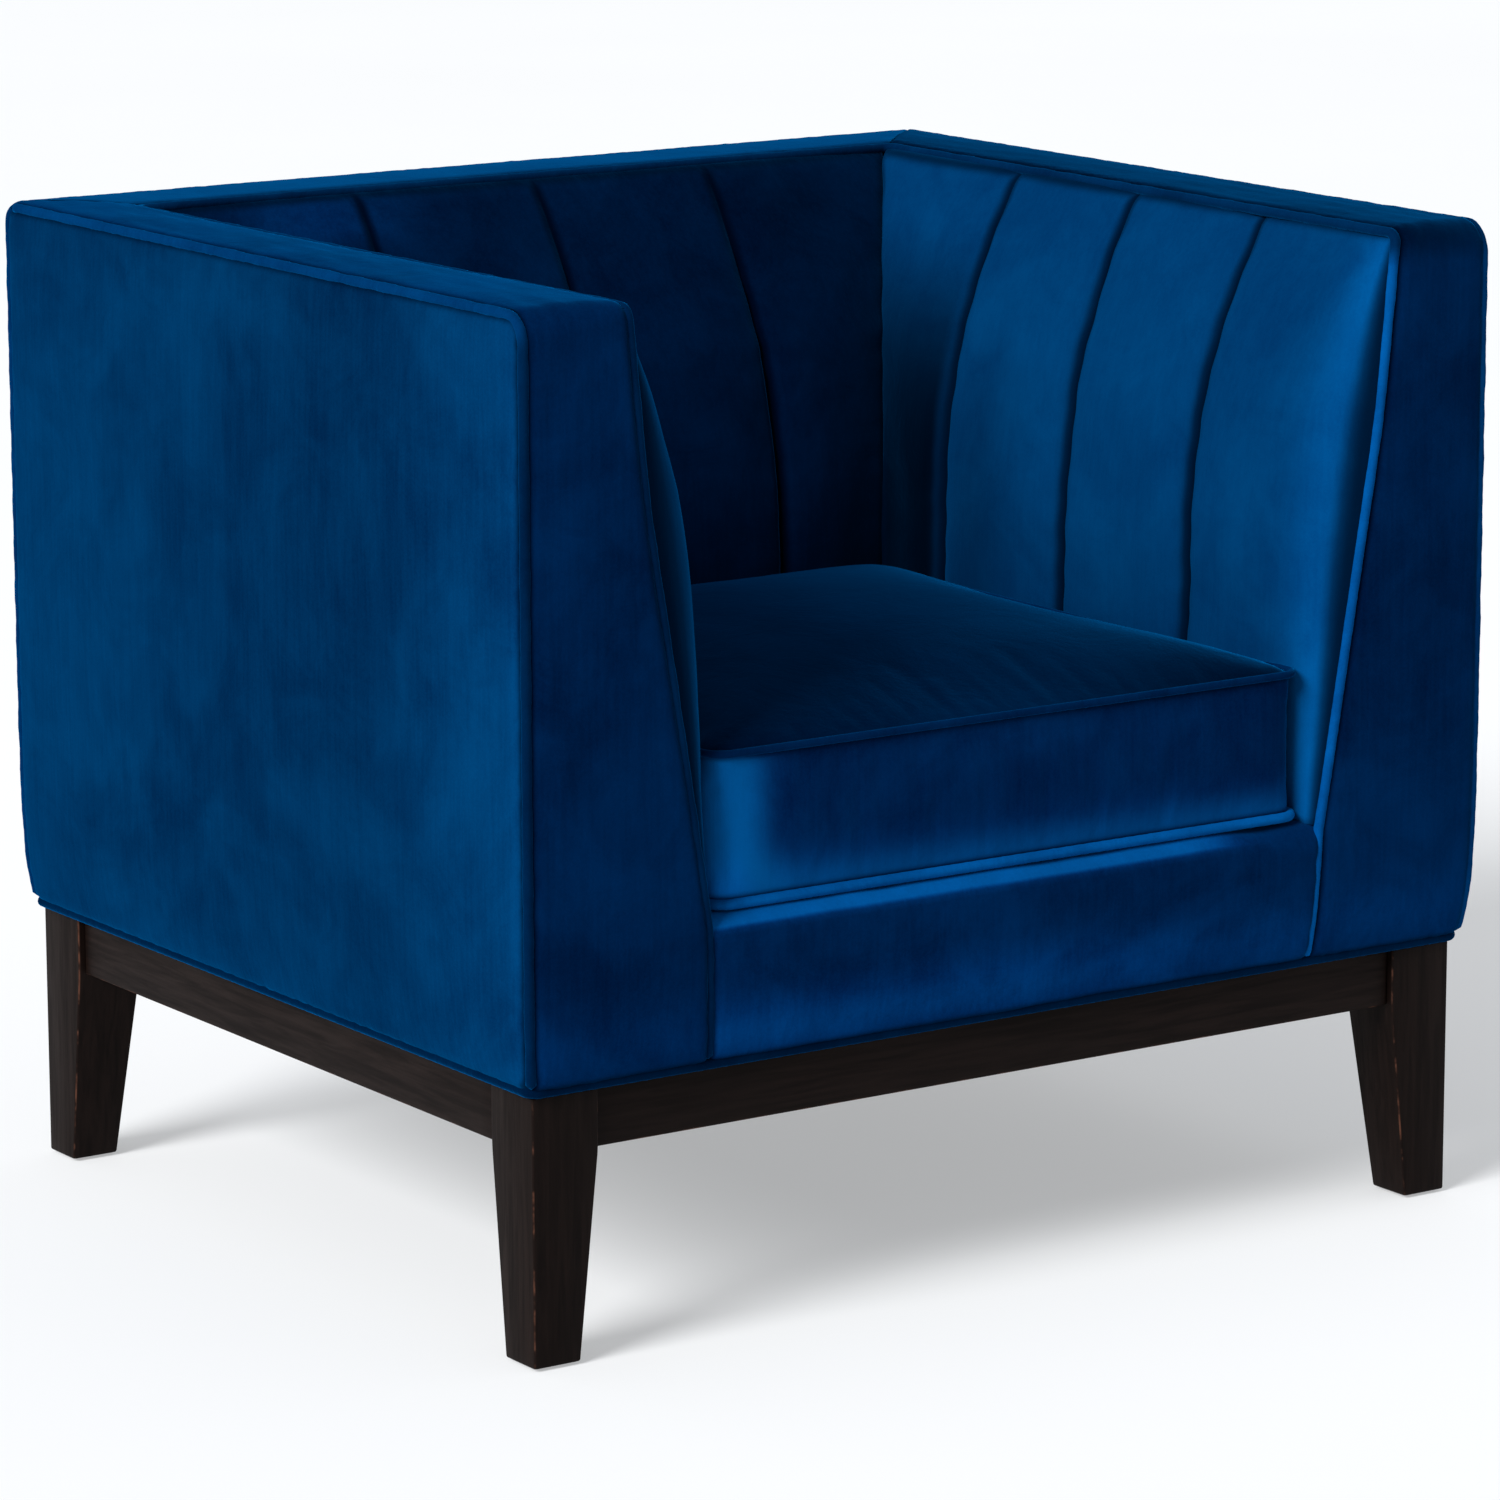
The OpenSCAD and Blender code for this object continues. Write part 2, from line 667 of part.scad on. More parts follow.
module arm_front_left() { arm_front(LEFT); }
module arm_front_right() { arm_front(RIGHT); }

module arm_top(s) {
    color(VELVET) on_side(s) block(
        [arm_in_x + welt_room, -half_d, post_top],
        [frame_x - SLACK, back_in_y + welt_room - SLACK, chair_h]
    );
}

module arm_top_left() { arm_top(LEFT); }
module arm_top_right() { arm_top(RIGHT); }

module back_top() {
    color(VELVET) block(
        [SLACK - frame_x, back_in_y + welt_room, post_top],
        [frame_x - SLACK, frame_y - SLACK, chair_h]
    );
}

// Cover of the front rail: a face with a round top edge and a flap over the board
module front_rail_cover() {
    bull_r = 11;
    reach = face_in_x - SLACK;
    color(VELVET_DARK) translate([-reach, 0, 0]) rotate([90, 0, 90]) linear_extrude(2 * reach) {
        translate([-half_d, cover_z]) square([face_t, deck_h - bull_r - cover_z]);
        translate([bull_r - half_d, deck_h - bull_r]) intersection() {
            circle(bull_r);
            translate([-bull_r, 0]) square(bull_r);
        }
        translate([bull_r - half_d, deck_h - bull_r]) square([face_t - bull_r, bull_r]);
        translate([front_y, deck_h - front_flap_t]) square([front_board_t, front_flap_t]);
    }
}

// ---- inside pads ---------------------------------------------------------------------

rows = 13;
row_z = [for (j = [0:rows - 1]) pad_top - (pad_top - pad_bottom) * pow(j / (rows - 1), 1.15)];
pad_from = board_back_y + SLACK;
channel_steps = 6;

// Foam wrapped round the front edge of each arm's board
module arm_nose_pads() {
    ys = [for (i = [0:3]) front_y + SLACK + (front_board_t - SLACK) * i / 3];
    color(VELVET) for (s = SIDES) on_side(s) between(
        [for (y = ys) [for (z = row_z) [arm_surface(y, z), y, z]]],
        [for (y = ys) [for (z = row_z) [face_x(z) + board_in - SLACK, y, z]]]
    );
}

// Inside of an arm: upright channels, running from the front to the mitred corner
module inside_arm(s) {
    count = len(stations(arm_edges(0), pad_from, channel_steps));
    color(VELVET) on_side(s) between(
        [for (i = [0:count - 1]) [for (z = row_z)
            let (y = stations(arm_edges(z), pad_from, channel_steps)[i])
            [arm_surface(y, z), y, z]]],
        [for (i = [0:count - 1]) [for (z = row_z)
            let (y = stations(arm_edges(z), pad_from, channel_steps)[i])
            let (t = (y - pad_from) / (mitre_y(arm_x(z)) - SLACK - pad_from))
            [pad_back_x, pad_from + t * (pad_back_y - pad_from), z]]]
    );
}

module inside_arm_left() { inside_arm(LEFT); }
module inside_arm_right() { inside_arm(RIGHT); }

// Inside back: upright channels between the two mitred corners
module inside_back() {
    count = len(stations(back_edges(0), -half_w, channel_steps));
    reach = mitre_x(pad_back_y) - SLACK;
    color(VELVET) between(
        [for (i = [0:count - 1]) [for (z = row_z)
            let (x = stations(back_edges(z), -arm_x(z), channel_steps)[i])
            [x, back_surface(x, z), z]]],
        [for (i = [0:count - 1]) [for (z = row_z)
            let (x = stations(back_edges(z), -arm_x(z), channel_steps)[i])
            [x / arm_x(z) * reach, pad_back_y, z]]]
    );
}

// ---- piping --------------------------------------------------------------------------

cord_sides = 10;
elbow_steps = 5;
top_z = chair_h - welt_in;
cord_foot = cover_z + SLACK;
outer_x = half_w - welt_in;
inner_x = arm_in_x + welt_in;
cord_front = -half_d + welt_in;
cord_rear = half_d - welt_in;

module outer_arm_welts() {
    path = [
        [outer_x, cord_front, cord_foot],
        [outer_x, cord_front, top_z],
        [outer_x, half_d - welt_room - SLACK, top_z],
    ];
    bent = rounded(path, elbow_r, elbow_steps, false);
    color(VELVET) for (s = SIDES) on_side(s) cord(bent, welt_d, cord_sides);
}

// One cord: up the inner edge of an arm's front, round the inner top edge, and down again
module inner_welt() {
    half_path = [
        [face_in_x + welt_in, cord_front, cord_foot],
        [face_in_x + welt_in, cord_front, deck_h],
        [face_x(top_z) + welt_in, cord_front, top_z],
        [inner_x, back_in_y + welt_in, top_z],
    ];
    path = concat(
        [for (p = half_path) [-p.x, p.y, p.z]],
        [for (i = [3:-1:0]) half_path[i]]
    );
    color(VELVET) cord(rounded(path, elbow_r, elbow_steps, false), welt_d, cord_sides);
}

module back_welt() {
    path = [
        [-outer_x, cord_rear, cord_foot],
        [-outer_x, cord_rear, top_z],
        [outer_x, cord_rear, top_z],
        [outer_x, cord_rear, cord_foot],
    ];
    color(VELVET) cord(rounded(path, elbow_r, elbow_steps, false), welt_d, cord_sides);
}

module base_welt() {
    x = half_w - base_welt_in;
    y = half_d - base_welt_in;
    z = base_h + base_welt_in;
    path = [[-x, -y, z], [x, -y, z], [x, y, z], [-x, y, z]];
    color(VELVET) cord(rounded(path, elbow_r, elbow_steps, true), base_welt_d, cord_sides, true);
}

// ---- seat cushion --------------------------------------------------------------------

cushion_mid_y = (cushion_front + cushion_rear) / 2;
cushion_half_y = (cushion_rear - cushion_front) / 2;
corner_steps = 6;

crown_reach = 170;                      // how far in from the seam the crown is full
crown_steps = 4;

// Rectangle with round corners round the cushion's middle, drawn in by inset
function cushion_ring(inset, z) =
    let (r = max(cushion_corner_r - inset, 4), x = cushion_x - inset - r, y = cushion_half_y - inset - r)
    [for (q = [0:3]) for (k = [0:corner_steps]) let (a = 90 * (q + k / corner_steps))
        [(q == 0 || q == 3 ? x : -x) + r * cos(a), cushion_mid_y + (q < 2 ? y : -y) + r * sin(a), z]];

// Crowned box, shrunk all round by the thickness of the cloth
module cushion_form(shrink) {
    rings = concat(
        [
            cushion_ring(seam_rise + 4 + shrink, cushion_z + shrink),
            cushion_ring(shrink, seam_low),
            cushion_ring(shrink, seam_high - shrink / 2),
        ],
        [for (i = [1:crown_steps]) let (t = i / crown_steps) cushion_ring(
            shrink + crown_reach * t * t,
            seam_high - shrink + cushion_crown * sin(90 * t)
        )]
    );
    n = len(rings[0]);
    top = (len(rings) - 1) * n;
    wall = [for (i = [0:len(rings) - 2]) for (k = [0:n - 1])
        let (a = i * n + k, b = i * n + (k + 1) % n)
        each [[a, a + n, b + n], [a, b + n, b]]];
    ends = [[for (k = [0:n - 1]) k], [for (k = [n - 1:-1:0]) top + k]];
    polyhedron([for (r = rings) each r], concat(wall, ends), convexity = 4);
}

module cushion_cover() {
    color(VELVET_DARK) difference() {
        cushion_form(0);
        cushion_form(cushion_cloth_t);
    }
}

module cushion_core() {
    color(FOAM) cushion_form(cushion_cloth_t + SLACK);
}

module cushion_welts() {
    x = cushion_x + welt_out;
    y = cushion_half_y + welt_out;
    bend = cushion_corner_r + welt_out;
    color(VELVET) for (z = [seam_low - welt_out, seam_high + welt_out])
        translate([0, cushion_mid_y, z]) cord(
            rounded([[-x, -y, 0], [x, -y, 0], [x, y, 0], [-x, y, 0]], bend, elbow_steps, true),
            welt_d, cord_sides, true
        );
}

zip_y = cushion_rear + SLACK / 3;
zip_tape_h = 22;

// Two tapes and the closed row of teeth between them
module zip_tape() {
    color(BLACK) translate([-zip_l / 2, zip_y, zip_z - zip_tape_h / 2]) cube([zip_l, zip_t, zip_tape_h]);
}

slider_l = 9;
slider_t = 1.6;
slider_travel = zip_l - 2 * slider_l;

// Slider at its closed end, with the small pull that hangs from it
module zip_slider() {
    pull_t = 0.9;
    pull_l = 14;
    pull_w = 4;
    start = slider_travel / 2;
    face = zip_y + zip_t + SLACK;
    color(STEEL) {
        translate([start - slider_l / 2, face, zip_z - slider_l / 2]) cube([slider_l, slider_t, slider_l]);
        translate([start - pull_w / 2, face + slider_t, zip_z - pull_l + 2]) cube([pull_w, pull_t, pull_l]);
    }
}

// ---- the model -----------------------------------------------------------------------

leg_front_left();
leg_front_right();
leg_rear_left();
leg_rear_right();
apron_front();
apron_rear();
apron_left();
apron_right();
corner_blocks();
glides();
leg_bolts();
base_screws();
dust_cover();
seat_rail_front();
seat_rail_rear();
seat_rail_left();
seat_rail_right();
seat_corner_blocks();
front_rail_board();
arm_board_left();
arm_board_right();
front_post_left();
front_post_right();
back_post_left();
back_post_right();
arm_top_rail_left();
arm_top_rail_right();
arm_tack_rail_left();
arm_tack_rail_right();
back_top_rail();
back_tack_rail();
seat_springs();
spring_clips();
spring_stay_wires();
webbing();
deck_pad();
deck_cover();
outside_arm_left();
outside_arm_right();
outside_back();
arm_front_left();
arm_front_right();
arm_top_left();
arm_top_right();
back_top();
arm_nose_pads();
inside_arm_left();
inside_arm_right();
inside_back();
front_rail_cover();
outer_arm_welts();
inner_welt();
back_welt();
base_welt();
cushion_core();
cushion_cover();
cushion_welts();
zip_tape();
zip_slider();
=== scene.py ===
import math

import bmesh
import bpy
import numpy as np
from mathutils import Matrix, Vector


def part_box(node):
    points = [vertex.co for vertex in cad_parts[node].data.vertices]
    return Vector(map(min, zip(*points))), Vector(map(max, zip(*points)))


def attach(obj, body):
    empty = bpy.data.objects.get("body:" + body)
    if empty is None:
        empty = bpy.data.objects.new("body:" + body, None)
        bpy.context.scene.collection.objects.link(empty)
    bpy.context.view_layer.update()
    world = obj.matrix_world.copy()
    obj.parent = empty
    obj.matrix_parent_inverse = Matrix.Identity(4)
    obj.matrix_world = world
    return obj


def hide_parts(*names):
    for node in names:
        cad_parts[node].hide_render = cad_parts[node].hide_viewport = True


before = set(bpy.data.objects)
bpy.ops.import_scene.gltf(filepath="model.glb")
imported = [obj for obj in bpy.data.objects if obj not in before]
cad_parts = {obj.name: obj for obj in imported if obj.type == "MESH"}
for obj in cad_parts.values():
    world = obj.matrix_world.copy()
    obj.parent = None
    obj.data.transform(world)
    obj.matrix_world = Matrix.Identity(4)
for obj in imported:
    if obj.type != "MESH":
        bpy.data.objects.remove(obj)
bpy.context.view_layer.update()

# %% [markdown]
# # A channelled club armchair in velvet
#
# The chair is a wooden base, a sprung box frame, padded velvet covers sewn together over
# piping, and one loose seat cushion. The frame that is loaded here holds every part at its
# true size. This lesson gives the parts that show their real surfaces: cloth that tucks under
# its piping, channels that swell between their seams, a cushion blown up by a cloth
# simulation, and wood with eased and worn edges.
#
# Every shape is a function of two parameters, worked out as whole numpy arrays on a grid.

# %% Sizes read from the frame
MM = 0.001


def low(node, axis):
    """Lowest coordinate of a frame part on one axis."""
    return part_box(node)[0][axis]


def high(node, axis):
    """Highest coordinate of a frame part on one axis."""
    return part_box(node)[1][axis]


X, Y, Z = 0, 1, 2
WELT_R = 3.75 * MM                            # radius of the piping
BASE_WELT_R = (high("base_welt", Z) - low("base_welt", Z)) / 2
HALF_W = high("base_welt", X)
HALF_D = high("base_welt", Y)
TOP = high("arm_top_left", Z)
BASE_TOP = low("base_welt", Z)
SEAT_DECK = high("deck_cover", Z)
WELT_IN = WELT_R + 0.3 * MM                   # the cord's middle, in from the edge it follows
WELT_X = HALF_W - WELT_IN                     # middles of the outer cords
WELT_Y = HALF_D - WELT_IN
WELT_Z = TOP - WELT_IN
BASE_WELT_Z = BASE_TOP + BASE_WELT_R
ARM_IN = low("arm_top_right", X) - 2 * WELT_IN        # inner top edge of an arm
BACK_IN = high("inner_welt", Y) - 2 * WELT_IN + 0.3 * MM   # inner top edge of the back
FACE_IN = high("front_rail_cover", X) + 0.3 * MM      # inner edge of an arm's face at the seat
ARM_FLAT = high("deck_cover", X) + 2 * MM             # inside of an arm where the cushion sits
BACK_FLAT = high("cushion_welts", Y) + 0.6 * MM
FLAT_Z = high("cushion_welts", Z) - 3.6 * MM
ARM_SWELL = ARM_IN - ARM_FLAT
BACK_SWELL = BACK_IN - BACK_FLAT
CHANNEL_CROWN = 12 * MM
ARM_CHANNEL = 155 * MM
BACK_CHANNEL = 160 * MM
print("arm", ARM_IN, ARM_FLAT, "back", BACK_IN, BACK_FLAT, "level", FLAT_Z, "face", FACE_IN)

# %% [markdown]
# ## Grids, slabs and tubes
#
# Upholstery is made of closed shells. A padded cover is a slab: a shaped front grid and a
# plainer back grid with the rim stitched shut. A cord is a tube: one ring carried along a
# path. Faces are index arithmetic on whole arrays, so no loop runs over the points.

# %% Helpers that turn arrays into meshes
def new_mesh(name, points, quads, values=None):
    """Mesh object from an (n, 3) array, an (m, 4) array of corners and named point values."""
    mesh = bpy.data.meshes.new(name)
    mesh.vertices.add(len(points))
    mesh.vertices.foreach_set("co", np.asarray(points, float).ravel())
    mesh.loops.add(quads.size)
    mesh.loops.foreach_set("vertex_index", quads.ravel())
    mesh.polygons.add(len(quads))
    mesh.polygons.foreach_set("loop_start", np.arange(len(quads)) * 4)
    mesh.polygons.foreach_set("loop_total", np.full(len(quads), 4))
    mesh.update(calc_edges=True)
    mesh.polygons.foreach_set("use_smooth", np.ones(len(quads), bool))
    for key, value in (values or {}).items():
        layer = mesh.attributes.new(key, "FLOAT", "POINT")
        layer.data.foreach_set("value", np.asarray(value, float).ravel())
    mesh.validate()
    made = bpy.data.objects.new(name, mesh)
    bpy.context.scene.collection.objects.link(made)
    return made


def grid_quads(rows, cols, wrap_rows=False, wrap_cols=False):
    """Corner numbers of every cell of a grid of points; wrapping joins last to first."""
    i = np.arange(rows if wrap_rows else rows - 1)[:, None]
    j = np.arange(cols if wrap_cols else cols - 1)[None, :]
    i2 = (i + 1) % rows
    j2 = (j + 1) % cols
    corners = [i * cols + j, i2 * cols + j, i2 * cols + j2, i * cols + j2]
    return np.stack([np.broadcast_to(c, (i.size, j.size)) for c in corners], -1).reshape(-1, 4)


def rim_order(rows, cols):
    """Grid numbers round the edge of a grid, once."""
    n = np.arange(rows * cols).reshape(rows, cols)
    return np.concatenate([n[0, :-1], n[:-1, -1], n[-1, :0:-1], n[:0:-1, 0]])


def facing_out(made):
    """Turns every face of a closed mesh outwards."""
    work = bmesh.new()
    work.from_mesh(made.data)
    bmesh.ops.recalc_face_normals(work, faces=work.faces)
    if work.calc_volume(signed=True) < 0:
        bmesh.ops.reverse_faces(work, faces=work.faces)
    work.to_mesh(made.data)
    work.free()
    return made


def fill_holes(made, sides):
    """Closes the open ends of a tube or bar with a flat face each."""
    work = bmesh.new()
    work.from_mesh(made.data)
    bmesh.ops.holes_fill(work, edges=[e for e in work.edges if e.is_boundary], sides=sides)
    work.to_mesh(made.data)
    work.free()
    return made


def slab(name, front, back, values=None):
    """Closed shell between two grids of the same shape: front, back and the rim between."""
    rows, cols = front.shape[:2]
    points = np.concatenate([front.reshape(-1, 3), back.reshape(-1, 3)])
    face = grid_quads(rows, cols)
    rim = rim_order(rows, cols)
    after = np.roll(rim, -1)
    far = rows * cols
    wall = np.stack([rim, after, after + far, rim + far], -1)
    quads = np.concatenate([face, face[:, ::-1] + far, wall])
    doubled = {k: np.concatenate([np.ravel(v), np.ravel(v)]) for k, v in (values or {}).items()}
    return facing_out(new_mesh(name, points, quads, doubled))


def unit(v):
    """Vectors divided by their length, so each is one long."""
    return v / np.maximum(np.linalg.norm(v, axis=-1, keepdims=True), 1e-12)


def smooth_noise(seed, *coords, size=0.2, waves=5):
    """Gentle random field: a sum of sines in random directions about `size` metres long."""
    rng = np.random.default_rng(seed)
    total = 0
    for _ in range(waves):
        turn = unit(rng.normal(size=len(coords)))
        length = size * rng.uniform(0.6, 1.6)
        phase = rng.uniform(0, 2 * np.pi)
        along = sum(c * t for c, t in zip(coords, turn))
        total = total + np.sin(2 * np.pi * along / length + phase)
    return total / math.sqrt(waves)


def smoothstep(t):
    """0 up to t = 0 and 1 from t = 1, with the S curve 3 t squared minus 2 t cubed between."""
    t = np.clip(t, 0, 1)
    return t * t * (3 - 2 * t)


def graded(length, fine, step):
    """Places from 0 to length: close together near both ends, evenly spaced between."""
    fine = np.asarray(fine)
    count = max(2, int(round((length - 2 * fine[-1]) / step)) + 1)
    middle = np.linspace(fine[-1], length - fine[-1], count)[1:-1]
    return np.concatenate([fine, middle, (length - fine)[::-1]])


EDGE = np.array([0, 0.7, 1.6, 2.7, 4, 5.5, 7.5, 10, 13.5, 18]) * MM   # rows beside a seam

# %% [markdown]
# ## The lean of the soft body
#
# A hand-built chair isn't a box. The padding pushes the covers out a few millimetres, and at
# the foot they are drawn in to the base. One function moves every outer cover and cord the
# same way, so they still meet; the inside, where the cushion travels, stays where it is.

# %% The lean
FOOT_PULL = 34 * MM                           # height over which the covers curve in at the foot
SIDE_SWELL, SIDE_DRAWN = 3.6 * MM, 8.0 * MM   # padding of a side, and how far its foot is drawn in
FRONT_SWELL, FRONT_DRAWN = 6.5 * MM, 10.5 * MM
REAR_SWELL, REAR_DRAWN = 3.0 * MM, 7.0 * MM


def lean(points):
    """Swells the soft body outwards: full padding, drawn in along an exponential to the foot."""
    p = np.array(points, float)
    pulled = np.exp(-np.maximum(p[..., 2] - BASE_TOP, 0) / FOOT_PULL)
    outer = smoothstep((np.abs(p[..., 0]) - 0.29) / 0.1)
    p[..., 0] += np.sign(p[..., 0]) * outer * (SIDE_SWELL - SIDE_DRAWN * pulled)
    front = smoothstep((-p[..., 1] - 0.26) / 0.08)
    rear = smoothstep((p[..., 1] - 0.24) / 0.08)
    p[..., 1] -= front * (FRONT_SWELL - FRONT_DRAWN * pulled)
    p[..., 1] += rear * (REAR_SWELL - REAR_DRAWN * pulled)
    return p


# %% [markdown]
# ## Cloth edges
#
# Where a cover meets piping it dives under the cord. The dive is a quarter ellipse: flat a
# finger's width from the seam, and steep at the seam. Away from the seam the wadding lifts the
# cloth a little, and the stitches gather it into small puckers that die away quickly.

# %% Height of the cloth above its board, by distance from the nearest seam
TUCK = 5.2 * MM                               # how far the cloth dives at its seam
ROLL = 8.5 * MM                               # width of the dive


def tuck(distance, depth=TUCK, width=ROLL):
    """Minus depth at the seam, rising along a quarter ellipse to 0 at width."""
    t = np.clip(distance / width, 0, 1)
    return -depth * (1 - np.sqrt(1 - (1 - t) ** 2))


def plump(distance, rise, reach):
    """Rises from 0 at the seam towards `rise`, most of it within `reach`."""
    return rise * (1 - np.exp(-np.maximum(distance, 0) / reach))


def puckers(distance, along, seed, size=22 * MM, height=0.55 * MM, reach=13 * MM):
    """Small gathers across a seam: waves along it that fade away from it."""
    wave = smooth_noise(seed, along, size=size, waves=4)
    return height * wave * np.exp(-distance / reach) * np.clip(distance / (3 * MM), 0, 1)


def painted_seam_shade(distance, reach=5 * MM):
    """1 in the seam, falling to 0 away from it: painted shade that darkens the cloth in a seam."""
    return np.exp(-((np.maximum(distance, 0) / reach) ** 2))


# %% [markdown]
# ## Piping
#
# Piping is a cord wrapped in a strip of the cover cloth and sewn between two panels. The path
# follows the frame's corners with a round bend at each. A ring is carried along it, square to
# the path, with a slow change of thickness where the cloth wraps tighter or looser.

# %% Round bends and tubes
def bent(corners, radii, step=4 * MM, closed=False):
    """Points every `step` along straight runs joined by arcs of the given radii."""
    pts = [np.array(c, float) for c in corners]
    count = len(pts)
    path = []
    for i, p in enumerate(pts):
        if not closed and i in (0, count - 1):
            path.append(p[None])
            continue
        u = unit(pts[i - 1] - p)
        v = unit(pts[(i + 1) % count] - p)
        half = math.acos(np.clip(u @ v, -1, 1)) / 2
        if math.pi / 2 - half < 0.01:
            path.append(p[None])
            continue
        r = radii[i]
        reach = r / math.tan(half)
        mid = p + unit(u + v) * r / math.sin(half)
        start = p + u * reach - mid
        end = p + v * reach - mid
        turn = math.pi - 2 * half
        side = (end - start * math.cos(turn)) / math.sin(turn)
        a = np.linspace(0, turn, 9)[:, None]
        path.append(mid + start * np.cos(a) + side * np.sin(a))
    line = np.concatenate(path + ([path[0][:1]] if closed else []))
    gaps = np.linalg.norm(np.diff(line, axis=0), axis=1)
    run = np.concatenate([[0], np.cumsum(gaps)])
    want = np.unique(np.concatenate([np.arange(0, run[-1], step), run]))
    want = want[np.concatenate([[True], np.diff(want) > 0.6 * MM])]
    if closed:
        want = want[want < run[-1] - 0.6 * MM]
    return np.stack([np.interp(want, run, line[:, k]) for k in range(3)], -1)


def tube(name, path, radius, sides=14, closed=False, seed=0, ripple=0.05, painted_light_and_shade=0.0):
    """Ring of `sides` points carried along a path; open ends close to a rounded tip."""
    n = len(path)
    if closed:
        ahead = np.roll(path, -1, 0) - np.roll(path, 1, 0)
    else:
        ahead = np.gradient(path, axis=0)
    t = unit(ahead)
    spoke = np.zeros_like(t)
    v = unit(np.cross(t[0], [0.31, 0.41, 0.86]))
    for i in range(n):
        v = unit(v - (v @ t[i]) * t[i])
        spoke[i] = v
    other = np.cross(t, spoke)
    run = np.concatenate([[0], np.cumsum(np.linalg.norm(np.diff(path, axis=0), axis=1))])
    if closed:
        near = np.cross(spoke[-1], spoke[0]) @ t[0]
        twist = math.atan2(near, spoke[-1] @ spoke[0]) * run / run[-1]
    else:
        twist = np.zeros(n)
    a = np.linspace(0, 2 * np.pi, sides, endpoint=False)[None, :] + twist[:, None]
    wave = 0 if closed else smooth_noise(seed, run, size=45 * MM)
    r = radius * (1 + ripple * wave * np.ones(n))
    if not closed:
        tip = np.minimum(run, run[-1] - run) / radius
        r = r * np.sqrt(np.clip(1 - (1 - np.clip(tip, 0, 1)) ** 2, 0.0004, 1))
    spiral = 1 + 0.025 * np.sin(2 * np.pi * run[:, None] / (11 * MM) + a)
    spot = path[:, None] + (r[:, None] * spiral)[..., None] * (
        np.cos(a)[..., None] * spoke[:, None] + np.sin(a)[..., None] * other[:, None]
    )
    quads = grid_quads(n, sides, wrap_rows=closed, wrap_cols=True)
    # Every point of the ring keeps the value of painted light and shade given for its place on the path.
    paler = np.broadcast_to(np.reshape(painted_light_and_shade, (-1, 1)), (n, sides))
    made = new_mesh(name, spot.reshape(-1, 3), quads, {"painted_light_and_shade": paler})
    if not closed:
        fill_holes(made, sides)
    return facing_out(made)


# %% [markdown]
# ## Outside panels
#
# The two sides and the back are flat boards with wadding and velvet pulled over them. Each is
# a rectangle whose corners are rounded where the piping bends. The distance to the nearest
# edge drives everything: the dive at the piping, the slight pillow and the puckers.

# %% Panels
def rounded_corners(a, b, half_a, half_b, radii):
    """Slides grid points near each corner on to its round: the square corner becomes a disc."""
    a, b = a.copy(), b.copy()
    for sa, sb, r in radii:
        da = a * sa - (half_a - r)
        db = b * sb - (half_b - r)
        inside = (da > 0) & (db > 0)
        scale = np.where(inside, np.maximum(da, db) / np.maximum(np.hypot(da, db), 1e-9), 1)
        a = np.where(inside, sa * (half_a - r + da * scale), a)
        b = np.where(inside, sb * (half_b - r + db * scale), b)
    return a, b


def edge_distance(a, b, half_a, half_b, r):
    """Distance in from the edge of a rectangle with rounded corners."""
    qa = np.abs(a) - (half_a - r)
    qb = np.abs(b) - (half_b - r)
    return r - np.hypot(np.maximum(qa, 0), np.maximum(qb, 0)) - np.minimum(np.maximum(qa, qb), 0)


TOP_BEND = 19 * MM                            # bend of the outer piping at the arm's front
REAR_BEND = 10 * MM
FOOT_BEND = 6 * MM
COVER = 9.4 * MM                              # how far a panel's back lies behind its board line
UNDER_IN = 9 * MM                             # how far the back of a cover stays in from its edge


def panel(name, place, half_a, seed, bends, bulge, painted_light_and_shade):
    """Padded panel. place(a, b, h) puts the point a across, b up and h out of the board. The
    height h is the dive at the seam plus an exponential rise, plus broad and fine noise."""
    half_b = (WELT_Z - BASE_WELT_Z) / 2
    a = graded(2 * half_a, EDGE, 8 * MM) - half_a
    b = graded(2 * half_b, EDGE, 8 * MM) - half_b
    a, b = np.meshgrid(a, b, indexing="ij")
    a, b = rounded_corners(a, b, half_a, half_b, bends)
    d = np.maximum(edge_distance(a, b, half_a, half_b, 12 * MM), 0)
    h = tuck(d, 5.6 * MM) + plump(d, bulge, 70 * MM)
    h = h + np.clip(d / (60 * MM), 0, 1) * 0.7 * MM * smooth_noise(seed, a, b, size=0.26)
    h = h + puckers(d, a + b, seed + 1) + 0.12 * MM * smooth_noise(seed + 2, a, b, size=0.05)
    shrink = 1 - UNDER_IN / half_b
    front = place(a, b, h)
    back = place(a * shrink, b * shrink, np.full_like(a, -COVER))
    # The stored values are painted shade in the seams and painted light and shade from the function passed
    # in.
    return slab(name, lean(front), lean(back), {"painted_seam_shade": painted_seam_shade(d), "painted_light_and_shade": painted_light_and_shade(a, b)})


def painted_front_light(a, b):
    """Painted light: paler towards the arm's front edge by a ramp and a narrow exponential, and a
    little darker further back.
    """
    near = WELT_Y + a
    return 0.5 * smoothstep((0.22 - near) / 0.2) + 0.5 * np.exp(-near / 0.012) - 0.12


def evenly(a, b):
    """No painted light or shade: zero everywhere."""
    return 0 * a


MID_Z = (WELT_Z + BASE_WELT_Z) / 2


def side_place(side):
    """Board of one side: a runs from front to rear, b runs up, h points outwards."""
    return lambda a, b, h: np.stack([side * (HALF_W + h), a, MID_Z + b], -1)


